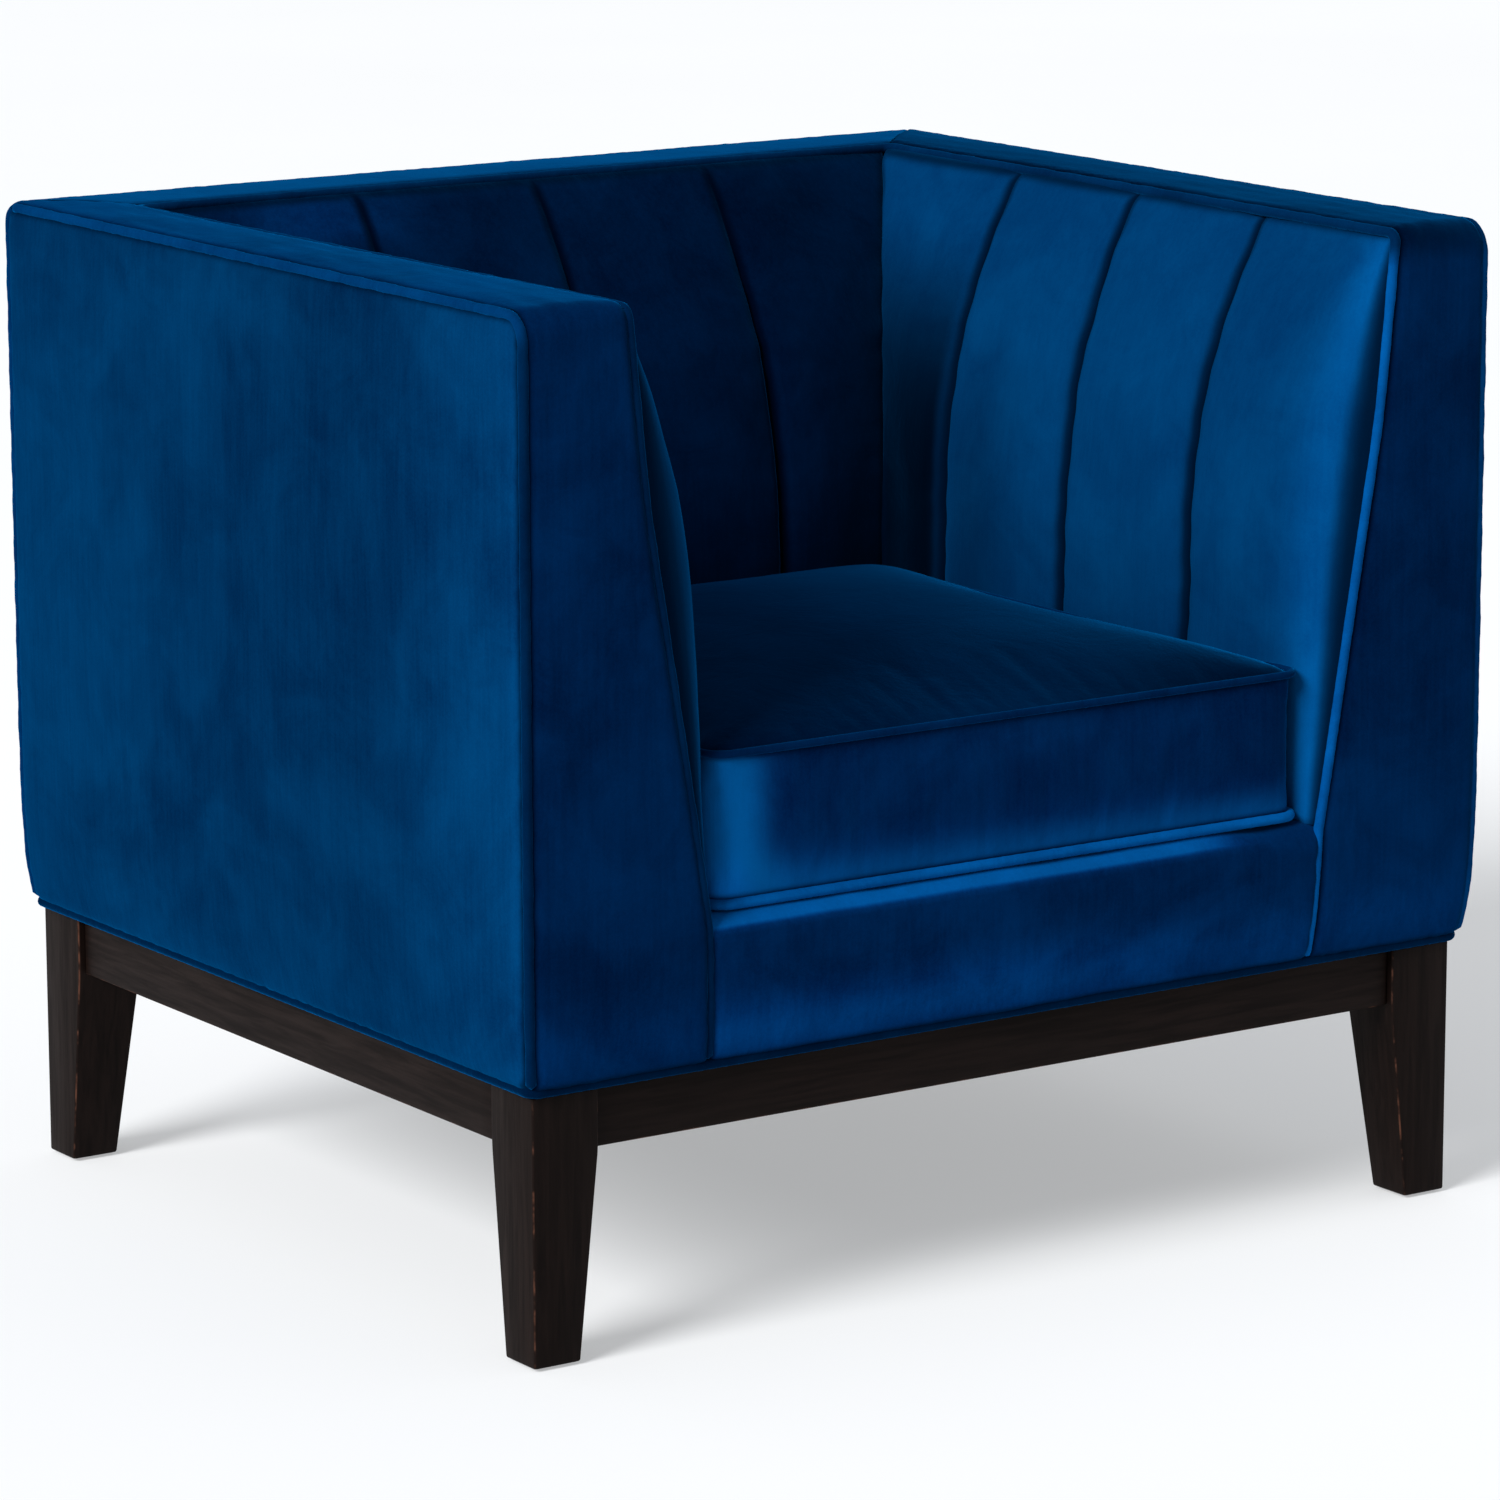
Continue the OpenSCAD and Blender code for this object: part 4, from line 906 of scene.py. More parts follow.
def coordinates(mesh):
    """The mesh's points as an (n, 3) array."""
    flat = np.empty(len(mesh.vertices) * 3)
    mesh.vertices.foreach_get("co", flat)
    return flat.reshape(-1, 3)


cushion = cushion_case("seat_cushion_cover")
print("case", len(cushion.data.vertices), "points")

# %% Filling the case
FRAMES = 20
MOST_SWELL = 24 * MM                          # cap on how far any point may move
CROWN = 18 * MM                               # most that the filled top stands over the frame's part


def sewn(points):
    """True for the points of the unfilled case that lie on one of its two seams."""
    off = edge_distance(points[:, 0], points[:, 1] - CUSHION_MID, CUSHION_X, CUSHION_HALF, CUSHION_R)
    level = np.minimum(np.abs(points[:, 2] - SEAM_LOW), np.abs(points[:, 2] - SEAM_HIGH))
    return (np.abs(off) < 0.4 * MM) & (level < 0.4 * MM)


def fill_case(case):
    """Cloth solver with pressure and no gravity; the points on the two seams are pinned."""
    start = coordinates(case.data)
    pins = case.vertex_groups.new(name="seams")
    pins.add([int(i) for i in np.flatnonzero(sewn(start))], 1.0, "REPLACE")
    cloth = case.modifiers.new("Cloth", "CLOTH")
    s = cloth.settings
    s.quality = 6
    s.mass = 0.3
    s.tension_stiffness = 12
    s.compression_stiffness = 6
    s.shear_stiffness = 4
    s.bending_stiffness = 0.6
    s.use_pressure = True
    s.uniform_pressure_force = 4
    s.vertex_group_mass = "seams"
    s.shrink_min = -0.004
    s.effector_weights.gravity = 0
    cloth.collision_settings.use_collision = False
    scene = bpy.context.scene
    for step in range(1, FRAMES + 1):
        scene.frame_set(step)
    solved = case.evaluated_get(bpy.context.evaluated_depsgraph_get())
    end = coordinates(solved.data)
    case.modifiers.remove(cloth)
    case.vertex_groups.remove(pins)
    scene.frame_set(1)
    moved = end - start
    size = np.linalg.norm(moved, axis=1, keepdims=True)
    return start + moved * np.minimum(1, MOST_SWELL / np.maximum(size, 1e-9))


def soft_limit(value, limit, blend=4 * MM):
    """Presses values above limit back to it, easing in over the last few millimetres."""
    over = value - (limit - blend)
    return np.where(over > 0, limit - blend + blend * (1 - np.exp(-over / blend)), value)


edge_ends = np.empty(len(cushion.data.edges) * 2, int)
cushion.data.edges.foreach_get("vertices", edge_ends)
folded = sewn(coordinates(cushion.data))[edge_ends.reshape(-1, 2)].all(axis=1)
fold = cushion.data.attributes.new("crease_edge", "FLOAT", "EDGE")
fold.data.foreach_set("value", folded.astype(float))
shape = fill_case(cushion)
print("swelled to", shape.min(0).round(4), shape.max(0).round(4))
shape[:, 0] = np.sign(shape[:, 0]) * soft_limit(np.abs(shape[:, 0]), CUSHION_X + 5 * MM)
shape[:, 1] = soft_limit(shape[:, 1], CUSHION_REAR + 5 * MM)
shape[:, 2] = -soft_limit(-shape[:, 2], -(CUSHION_FOOT + 0.2 * MM), 2 * MM)
shape[:, 2] = soft_limit(shape[:, 2], CUSHION_TOP + CROWN, 5 * MM)
shape = flare(shape)
cushion.data.vertices.foreach_set("co", shape.ravel())
smooth = cushion.modifiers.new("finer", "SUBSURF")
smooth.levels = smooth.render_levels = 1
dg = bpy.context.evaluated_depsgraph_get()
finer = bpy.data.meshes.new_from_object(cushion.evaluated_get(dg), depsgraph=dg)
cushion.modifiers.clear()
cushion.data = finer
finer.polygons.foreach_set("use_smooth", np.ones(len(finer.polygons), bool))
spots = coordinates(finer)
gap = np.minimum(np.abs(spots[:, 2] - SEAM_LOW), np.abs(spots[:, 2] - SEAM_HIGH))
edge = edge_distance(spots[:, 0], spots[:, 1] - CUSHION_MID, CUSHION_X, CUSHION_HALF, CUSHION_R)
# Painted light and shade: the top painted darker towards the right, the front of the border painted paler,
# most of all low down and at the left front corner.
in_border = smoothstep((SEAM_HIGH - spots[:, 2]) / (4 * MM))
front_part = smoothstep((CUSHION_FRONT + 0.05 - spots[:, 1]) / 0.03) * in_border
low_glow = smoothstep((SEAM_LOW + 0.06 - spots[:, 2]) / 0.06)
corner_glow = np.exp(-((spots[:, 0] + CUSHION_X) / 0.036) ** 2)
on_top = (1 - in_border) * (-0.5 - 0.85 * smoothstep((spots[:, 0] + 0.05) / 0.25))
painted_light_and_shade = on_top + front_part * (0.75 + 1.4 * low_glow**2 + 2.6 * corner_glow)
# Painted shade in both seams.
sunk = 0.7 * painted_seam_shade(np.hypot(gap, np.maximum(edge, 0)), 4 * MM)
for key, value in (("painted_seam_shade", sunk), ("painted_light_and_shade", painted_light_and_shade)):
    layer = finer.attributes.new(key, "FLOAT", "POINT")
    layer.data.foreach_set("value", value)
print("cushion", len(finer.vertices), "points, top", round(spots[:, 2].max(), 4))

# %% [markdown]
# ## The cushion's piping
#
# Both seams carry the same piping as the arms, on the diagonal just outside the seam.

# %% Cushion piping
def cushion_cord(name, z, radius, painted_light_and_shade, seed):
    """Closed cord round the cushion at height z: four straight runs and four arcs."""
    x, y = CUSHION_X + WELT_OUT, CUSHION_HALF + WELT_OUT
    run = [(-x, CUSHION_MID - y, z), (x, CUSHION_MID - y, z), (x, CUSHION_MID + y, z),
           (-x, CUSHION_MID + y, z)]
    path = flare(bent(run, [CUSHION_R + WELT_OUT] * 4, closed=True))
    return tube(name, path, radius, closed=True, seed=seed, painted_light_and_shade=painted_light_and_shade)


# Painted light: the lower cord painted much paler, the upper one a little.
soft["cushion_cord_low"] = cushion_cord("cushion_welt_lower", SEAM_LOW - WELT_OUT, WELT_R, 1.8, 121)
soft["cushion_cord_high"] = cushion_cord(
    "cushion_welt_upper", SEAM_HIGH + 0.5 * WELT_OUT, 0.75 * WELT_R, 0.2, 122)

# %% [markdown]
# ## Legs and aprons
#
# The base is stained wood: four legs that taper on their two inner sides, and four aprons
# between them. A real leg has no sharp edge: each is eased with a plane and worn paler where
# shoes and brooms touch it. A rounded square is carried up the leg, and the wear is stored at
# every point as how close it is to an edge or to the foot.

# %% Eased wood
LEG_OUT_X = high("leg_front_right", X)
LEG_OUT_Y = high("leg_rear_right", Y)
LEG_TOP_W = LEG_OUT_X - low("leg_front_right", X)
LEG_FOOT_W = 38 * MM
APRON_Z = low("apron_front", Z)
LEG_FOOT_Z = low("leg_front_left", Z)
EASE = 1.8 * MM


def rounded_square(half_a, half_b, r, steps=5):
    """Outline of a rectangle with round corners: points and their closeness to a corner, which
    is the root of the sine of twice the angle turned."""
    turn = np.linspace(0, np.pi / 2, steps)
    parts, wear = [], []
    for k in range(4):
        a = turn + k * np.pi / 2
        sa = 1 if k in (0, 3) else -1
        sb = 1 if k in (0, 1) else -1
        round_a = sa * (half_a - r) + r * np.cos(a)
        round_b = sb * (half_b - r) + r * np.sin(a)
        parts.append(np.stack([round_a, round_b], -1))
        wear.append(np.sin(2 * turn) ** 0.5)
    ring = np.concatenate(parts)
    after = np.roll(ring, -1, 0)
    worn = np.concatenate(wear)
    half = (ring + after) / 2
    out = np.stack([ring, half], 1).reshape(-1, 2)
    worn_out = np.stack([worn, np.minimum(worn, np.roll(worn, -1))], 1).reshape(-1)
    return out, worn_out


def wood_bar(name, centre, along, across, rise, size_a, size_b, length, count, shift=None):
    """Rounded square carried along an axis; both ends ease over along a quarter circle."""
    end = EASE * np.array([0, 0.3, 0.65, 1.0])
    rows = np.concatenate([end, np.linspace(EASE, length - EASE, count + 2)[1:-1],
                           length - end[::-1]])
    to_round = np.maximum(0, EASE - np.minimum(rows, length - rows))
    inset = EASE - np.sqrt(np.maximum(EASE**2 - to_round**2, 0))
    points, wear = [], []
    for t, cut in zip(rows, inset):
        a, b = size_a(t), size_b(t)
        ring, worn = rounded_square(a / 2 - cut, b / 2 - cut, EASE)
        move = np.zeros(2) if shift is None else np.asarray(shift(t))
        ring = ring + move
        points.append(centre + along * t + ring[:, :1] * across + ring[:, 1:] * rise)
        wear.append(np.maximum(worn, cut / EASE))
    sides = len(points[0])
    grid = np.stack(points)
    quads = grid_quads(len(rows), sides, wrap_cols=True)
    made = new_mesh(name, grid.reshape(-1, 3), quads, {"wear": np.stack(wear).ravel()})
    return facing_out(fill_holes(made, sides))


AX, AY, AZ = np.eye(3)


def leg(name, sx, sy):
    """Leg of the corner (sx, sy): square above the aprons' lower edge, tapering below it."""
    length = BASE_TOP - LEG_FOOT_Z

    def side(t):
        part = np.clip((APRON_Z - LEG_FOOT_Z - t) / (APRON_Z - LEG_FOOT_Z), 0, 1)
        return LEG_TOP_W + (LEG_FOOT_W - LEG_TOP_W) * part

    centre = np.array([0, 0, LEG_FOOT_Z])
    return wood_bar(
        name, centre, AZ, AX, AY, side, side, length, 24,
        lambda t: (sx * (LEG_OUT_X - side(t) / 2), sy * (LEG_OUT_Y - side(t) / 2)))


def apron(name, node, axis):
    """Straight rail that fills the frame's own apron box."""
    a, b = (np.array(v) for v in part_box(node))
    mid = (a + b) / 2
    size = b - a
    along = (AX, AY)[axis]
    across = (AY, AX)[axis]
    start = mid - along * size[axis] / 2
    return wood_bar(name, start, along, across, AZ, lambda t: size[1 - axis], lambda t: size[2],
                    size[axis], 30)


wood = {}
for word_y, sy in (("front", -1), ("rear", 1)):
    for word_x, sx in (("left", -1), ("right", 1)):
        node = f"leg_{word_y}_{word_x}"
        wood[node] = leg(node + "_eased", sx, sy)
APRONS = {"apron_front": X, "apron_rear": X, "apron_left": Y, "apron_right": Y}
for node, axis in APRONS.items():
    wood[node] = apron(node + "_eased", node, axis)
print("wood", list(wood))

# %% [markdown]
# ## Hidden cloths and foam
#
# Under the cushion a plain velvet deck cloth is pulled tight over thin foam, and black cambric
# closes the chair from below. Both are cloth cut flat and stapled, so both are sheets. The two
# foam blocks are cut with a saw and have soft edges.

# %% Sheets and foam blocks
def flat_sheet(name, node, sag, seed):
    """Thin stretched cloth in the frame part's own box, sagging between its staples."""
    a, b = (np.array(v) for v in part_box(node))
    x = graded(b[0] - a[0], np.array([0, 4, 10, 20]) * MM, 14 * MM) + a[0]
    y = graded(b[1] - a[1], np.array([0, 4, 10, 20]) * MM, 14 * MM) + a[1]
    x, y = np.meshgrid(x, y, indexing="ij")
    u = (x - a[0]) / (b[0] - a[0])
    v = (y - a[1]) / (b[1] - a[1])
    inside = 16 * u * (1 - u) * v * (1 - v)
    gap = np.minimum(np.minimum(x - a[0], b[0] - x), np.minimum(y - a[1], b[1] - y))
    h = sag * inside + 0.25 * MM * smooth_noise(seed, x, y, size=0.07) * np.clip(inside * 4, 0, 1)
    h = h + puckers(gap, x + y, seed + 1, 30 * MM, 0.3 * MM, 15 * MM)
    upper = np.stack([x, y, b[2] - 0.4 * MM + h], -1)
    lower = upper - [0, 0, 0.8 * MM]
    return slab(name, upper, lower, {"painted_seam_shade": painted_seam_shade(gap, 3 * MM)})


def foam_block(name, node, r, lower_by=0.0, in_by=0.0):
    """Block in the frame part's own box, less lower_by at the top and in_by at the sides: a
    rounded square carried up, eased at both ends along a quarter circle."""
    a, b = (np.array(v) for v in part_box(node))
    a = a + [in_by, in_by, 0]
    b = b - [in_by, in_by, lower_by]
    r = min(r, (b[2] - a[2]) * 0.45)
    turn = np.linspace(0, np.pi / 2, 6)
    z = np.concatenate([a[2] + r - r * np.cos(turn), b[2] - r + r * np.sin(turn)])
    cut = np.concatenate([r - r * np.sin(turn), r - r * np.cos(turn)])
    half = (b - a) / 2
    mid = (a + b) / 2
    rings = []
    for height, inset in zip(z, cut):
        ring, _ = rounded_square(half[0] - inset, half[1] - inset, max(12 * MM - inset, 3 * MM))
        rings.append(np.column_stack([ring + mid[:2], np.full(len(ring), height)]))
    grid = np.stack(rings)
    sides = grid.shape[1]
    points = grid.reshape(-1, 3)
    made = new_mesh(name, points, grid_quads(len(z), sides, wrap_cols=True))
    return facing_out(fill_holes(made, sides))


soft["deck_cover"] = flat_sheet("deck_cloth", "deck_cover", 0.1 * MM, 131)
soft["dust_cover"] = flat_sheet("dust_cloth", "dust_cover", -0.2 * MM, 133)
soft["deck_pad"] = foam_block("deck_foam", "deck_pad", 4 * MM)
soft["cushion_core"] = foam_block("cushion_foam", "cushion_core", 12 * MM, 27 * MM, 14 * MM)

# %% [markdown]
# ## Zip
#
# The case closes with a zip in its rear border: two woven tapes, a coil of teeth between them
# and a slider with a small pull. It only shows when the cushion is lifted out.

# %% Zip tape, teeth and slider
ZIP_LOW, ZIP_HIGH = (np.array(v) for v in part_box("zip_tape"))
ZIP_MID = (ZIP_LOW + ZIP_HIGH) / 2


def zip_teeth(name):
    """Woven tapes with a row of teeth: a strip whose middle rises once for every tooth."""
    pitch = 2.2 * MM
    x = np.arange(ZIP_LOW[0], ZIP_HIGH[0], pitch / 4)[:, None]
    z = np.concatenate([np.linspace(-11, -3.2, 5), [-2.6, -2.2, -1, 0, 1, 2.2, 2.6],
                        np.linspace(3.2, 11, 5)])[None, :] * MM
    tooth = (np.abs(z) < 2.4 * MM) * (0.55 + 0.45 * np.cos(2 * np.pi * x / pitch)) * 0.9 * MM
    weave = 0.06 * MM * np.cos(2 * np.pi * x / pitch) * (np.abs(z) > 2.4 * MM)
    y = ZIP_LOW[1] + 0.5 * MM + tooth + weave
    front = np.stack([x + 0 * y, y, ZIP_MID[2] + z + 0 * y], -1)
    back = np.stack([x + 0 * y, ZIP_LOW[1] + 0 * y, ZIP_MID[2] + z + 0 * y], -1)
    return slab(name, front, back)


def zip_pull(name):
    """Slider body and its pull: two rounded bars with eased edges, joined as one piece."""
    a, b = (np.array(v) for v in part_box("zip_slider"))
    mid = (a + b) / 2
    body_top = b[2]
    parts = []
    for size, spot in (((9, 1.5, 8.6), (0, a[1] + 0.8 * MM, body_top - 4.5 * MM)),
                       ((3, 0.9, 4), (0, a[1] + 1.8 * MM, body_top - 4.5 * MM)),
                       ((4, 0.7, 13.6), (0, b[1] - 0.4 * MM, a[2] + 6.9 * MM))):
        w, t, h = (v * MM for v in size)
        ring, _ = rounded_square(w / 2, h / 2, min(w, h) * 0.28)
        levels = np.array([-1, -0.9, -0.5, 0.5, 0.9, 1]) * t / 2
        narrow = np.array([0.9, 0.97, 1, 1, 0.97, 0.9])
        grid = np.stack([
            np.column_stack([mid[0] + ring[:, 0] * k, np.full(len(ring), spot[1] + y),
                             spot[2] + ring[:, 1] * k]) for y, k in zip(levels, narrow)])
        part = new_mesh("part", grid.reshape(-1, 3), grid_quads(6, len(ring), wrap_cols=True))
        parts.append(facing_out(fill_holes(part, len(ring))))
    joined = bmesh.new()
    for part in parts:
        joined.from_mesh(part.data)
        bpy.data.objects.remove(part)
    mesh = bpy.data.meshes.new(name)
    joined.to_mesh(mesh)
    joined.free()
    mesh.polygons.foreach_set("use_smooth", np.zeros(len(mesh.polygons), bool))
    made = bpy.data.objects.new(name, mesh)
    bpy.context.scene.collection.objects.link(made)
    return made


zip_strip = zip_teeth("zip_tapes_and_teeth")
slider = zip_pull("zip_slider_and_pull")
print("zip", len(zip_strip.data.vertices), "points")

# %% [markdown]
# ## Finishes
#
# Each material is a small graph of nodes. Velvet is a short upright pile: it is nearly black
# looked at straight on, and glows where it is seen or lit edgewise. The sheen of the shader
# gives the glow. What makes it look real is that hands have brushed the pile this way and
# that: a cloudy pattern for the brush marks, fine streaks along the pile, and a grain for the
# pile itself. Two values stored at the points of a cover steer the colour, and both are painted
# light and shade. The first is painted shade that darkens the cloth inside seams. The second
# paints the cloth paler or darker where the light in the scene would fall more or less on it:
# the colour is multiplied by two to the power of it.

# %% Node helpers
class Graph:
    """A material's node tree, with short calls to add and join nodes."""

    def __init__(self, name):
        self.material = bpy.data.materials.new(name)
        self.material.use_nodes = True
        self.tree = self.material.node_tree
        self.tree.nodes.clear()
        self.out = self.add("ShaderNodeOutputMaterial")
        self.shader = self.add("ShaderNodeBsdfPrincipled")
        self.join(self.shader.outputs[0], self.out.inputs["Surface"])
        self.place = self.add("ShaderNodeTexCoord").outputs["Object"]

    def add(self, kind, **settings):
        """New node of a kind, with its settings."""
        node = self.tree.nodes.new(kind)
        for key, value in settings.items():
            setattr(node, key, value)
        return node

    def join(self, source, target):
        self.tree.links.new(source, target)

    def mapped(self, scale=(1, 1, 1), turn=(0, 0, 0), shift=(0, 0, 0)):
        """Object coordinates, stretched, turned and shifted."""
        node = self.add("ShaderNodeMapping")
        node.inputs["Scale"].default_value = scale
        node.inputs["Rotation"].default_value = turn
        node.inputs["Location"].default_value = shift
        self.join(self.place, node.inputs["Vector"])
        return node.outputs[0]

    def noise(self, where, scale, detail=3.0, rough=0.55, warp=0.0):
        """Fractal noise with `scale` lumps to the metre."""
        node = self.add("ShaderNodeTexNoise")
        for key, value in (("Scale", scale), ("Detail", detail), ("Roughness", rough),
                           ("Distortion", warp)):
            node.inputs[key].default_value = value
        self.join(where, node.inputs["Vector"])
        return node.outputs["Fac"]

    def spread(self, value, low_in, high_in, low_out=0.0, high_out=1.0):
        """Maps one range on to another along an S curve."""
        node = self.add("ShaderNodeMapRange", interpolation_type="SMOOTHSTEP")
        for k, v in enumerate((low_in, high_in, low_out, high_out), start=1):
            node.inputs[k].default_value = v
        self.join(value, node.inputs[0])
        return node.outputs[0]

    def sums(self, kind, a, b):
        """One sum of two values: ADD, MULTIPLY or POWER."""
        node = self.add("ShaderNodeMath", operation=kind)
        for k, v in enumerate((a, b)):
            if isinstance(v, (int, float)):
                node.inputs[k].default_value = v
            else:
                self.join(v, node.inputs[k])
        return node.outputs[0]

    def blend(self, share, a, b):
        """Colour a where share is 0 and b where it is 1."""
        node = self.add("ShaderNodeMix", data_type="RGBA")
        for k, v in ((0, share), (6, a), (7, b)):
            if isinstance(v, (int, float)):
                node.inputs[k].default_value = v
            elif isinstance(v, tuple):
                node.inputs[k].default_value = (*v, 1)
            else:
                self.join(v, node.inputs[k])
        return node.outputs[2]

    def brighten(self, colour, stops):
        """Colour times two to the power of `stops`."""
        node = self.add("ShaderNodeVectorMath", operation="SCALE")
        self.join(colour, node.inputs[0])
        self.join(self.sums("POWER", 2.0, stops), node.inputs["Scale"])
        return node.outputs[0]

    def attribute(self, name):
        """A value stored at the mesh's points, 0 where there is none."""
        return self.add("ShaderNodeAttribute", attribute_name=name).outputs["Fac"]

    def bump(self, height, distance, strength=1.0, under=None):
        """Small relief, on top of another one if given."""
        node = self.add("ShaderNodeBump")
        node.inputs["Distance"].default_value = distance
        node.inputs["Strength"].default_value = strength
        self.join(height, node.inputs["Height"])
        if under is not None:
            self.join(under, node.inputs["Normal"])
        return node.outputs[0]

    def finish(self, colour, rough, normal=None, **constants):
        """Fills the shader's sockets and gives back the material."""
        for key, value in (("Base Color", colour), ("Roughness", rough)):
            socket = self.shader.inputs[key]
            if isinstance(value, tuple):
                socket.default_value = (*value, 1)
            elif isinstance(value, (int, float)):
                socket.default_value = value
            else:
                self.join(value, socket)
        if normal is not None:
            self.join(normal, self.shader.inputs["Normal"])
        for key, value in constants.items():
            socket = self.shader.inputs[key.replace("_", " ")]
            socket.default_value = (*value, 1) if isinstance(value, tuple) else value
        return self.material


# %% Velvet
def velvet(name, deep, bright, pile=(0, 0, 0), shift=0.0, cloud=4.5):
    """Velvet between two tones by a weighted sum of five noises, then painted paler or darker by
    the stored painted light and shade, and darkened by painted shade in the seams. The palest
    painted light goes over to a painted sheen colour."""
    g = Graph(name)
    spot = g.mapped(shift=(shift, 0.7 * shift, 1.3 * shift))
    brushed = g.noise(spot, cloud, 4, 0.6, 0.8)
    patches = g.noise(spot, 3.6 * cloud, 4, 0.65, 0.6)
    lanes = g.noise(g.mapped((1, 1, 0.3), pile, (shift, 0, 0)), 34, 3, 0.6, 0.3)
    hatch = g.noise(g.mapped((1, 1, 0.05), pile, (0, shift, 0)), 260, 2, 0.6)
    specks = g.noise(g.place, 520, 3, 0.7)
    grain = g.noise(g.place, 1700, 2, 0.6)
    nap = g.sums("ADD", g.sums("MULTIPLY", g.spread(brushed, 0.36, 0.66), 0.45),
                 g.sums("MULTIPLY", g.spread(patches, 0.34, 0.68), 0.27))
    fine = g.sums("ADD", g.sums("MULTIPLY", g.spread(lanes, 0.34, 0.68), 0.1),
                  g.sums("MULTIPLY", g.spread(hatch, 0.35, 0.65), 0.1))
    fine = g.sums("ADD", fine, g.sums("MULTIPLY", g.spread(specks, 0.36, 0.64), 0.13))
    nap = g.sums("ADD", nap, fine)
    # Painted light and shade: the colour is doubled or halved by the stored value, and the palest painted
    # light goes over to a painted sheen colour.
    painted_light_and_shade = g.attribute("painted_light_and_shade")
    colour = g.brighten(g.blend(nap, deep, bright), painted_light_and_shade)
    colour = g.blend(g.spread(painted_light_and_shade, 1.0, 3.2, 0, 0.75), colour, PAINTED_SHEEN)
    # Painted shade: the cloth in the seams is darkened towards a sixth of the deep tone.
    shade = g.spread(g.attribute("painted_seam_shade"), 0.05, 1.0, 0.0, 0.92)
    colour = g.blend(shade, colour, tuple(0.16 * c for c in deep))
    rough = g.spread(nap, 0.0, 1.0, 0.78, 0.6)
    normal = g.bump(g.sums("ADD", patches, brushed), 2.2 * MM, 0.5)
    normal = g.bump(hatch, 0.35 * MM, 0.5, normal)
    normal = g.bump(grain, 0.12 * MM, 0.6, normal)
    return g.finish(colour, rough, normal, Sheen_Weight=0.35, Sheen_Roughness=0.38,
                    Sheen_Tint=(0.0, 0.28, 0.85), Specular_IOR_Level=0.0)


# Painted sheen: the light blue that the palest painted light goes over to.
PAINTED_SHEEN = (0.0006, 0.085, 0.26)
# One velvet cloth in several tones: the darker copies for the sides, fronts, seat and piping are painted
# shade, set for how the light falls on each.
body_velvet = velvet("navy_velvet", (0.0001, 0.019, 0.074), (0.0002, 0.036, 0.120))
side_velvet = velvet(
    "navy_velvet_side_shaded", (0.0001, 0.006, 0.028), (0.0002, 0.026, 0.085), shift=3.1, cloud=3.2)
face_velvet = velvet("navy_velvet_front_shaded", (0.0001, 0.004, 0.024), (0.0001, 0.017, 0.075), shift=7.7)
seat_velvet = velvet(
    "navy_velvet_seat_shaded", (0.0001, 0.003, 0.019), (0.0001, 0.012, 0.052), (1.57, 0, 0), 1.9)
piping_velvet = velvet(
    "navy_velvet_piping_shaded", (0.0001, 0.012, 0.052), (0.0002, 0.026, 0.098), shift=5.3, cloud=9)
dark_piping = velvet(
    "navy_velvet_seat_piping_shaded", (0.0001, 0.005, 0.026), (0.0001, 0.013, 0.056), shift=2.3, cloud=9)


# %% [markdown]
# Dark stain leaves the grain just visible: long dark lines in nearly black brown, a dull
# surface, and a reddish wear where an edge has been rubbed.

# %% Stained wood and raw wood
def stained(name, axis):
    """Dark stained wood whose grain runs along one axis: noise stretched 1 : 0.06, a cloudy
    tone, and bare wood where the stored wear and a coarse noise are both high."""
    g = Graph(name)
    stretch = [1.0, 1.0, 1.0]
    stretch[axis] = 0.06
    lines = g.noise(g.mapped(tuple(stretch)), 190, 5, 0.65, 0.5)
    cloudy = g.noise(g.place, 9, 3, 0.5)
    pores = g.noise(g.mapped(tuple(stretch)), 900, 2, 0.5)
    colour = g.blend(g.spread(lines, 0.3, 0.72), (0.0028, 0.0012, 0.0008), (0.0078, 0.0036, 0.0026))
    colour = g.blend(g.spread(cloudy, 0.35, 0.7, 0, 0.45), colour, (0.0046, 0.0021, 0.0015))
    rub = g.sums("MULTIPLY", g.spread(g.attribute("wear"), 0.55, 1.0),
                 g.spread(g.noise(g.place, 60, 3, 0.6), 0.45, 0.68))
    colour = g.blend(rub, colour, (0.075, 0.030, 0.018))
    rough = g.spread(lines, 0.3, 0.7, 0.6, 0.48)
    normal = g.bump(lines, 0.18 * MM, 0.5)
    normal = g.bump(pores, 0.08 * MM, 0.5, normal)
    return g.finish(colour, rough, normal, Specular_IOR_Level=0.07)


def plain_wood(name):
    """Raw beech: stretched noise for the rings, finer stretched noise for the flecks."""
    g = Graph(name)
    rings = g.noise(g.mapped((1, 0.12, 1)), 60, 5, 0.6, 1.2)
    flecks = g.noise(g.mapped((1, 0.1, 1)), 420, 2, 0.5)
    colour = g.blend(g.spread(rings, 0.3, 0.7), (0.40, 0.24, 0.12), (0.58, 0.38, 0.21))
    colour = g.blend(g.spread(flecks, 0.52, 0.7, 0, 0.5), colour, (0.30, 0.17, 0.085))
    return g.finish(colour, g.spread(rings, 0.3, 0.7, 0.62, 0.5), g.bump(flecks, 0.15 * MM, 0.6))


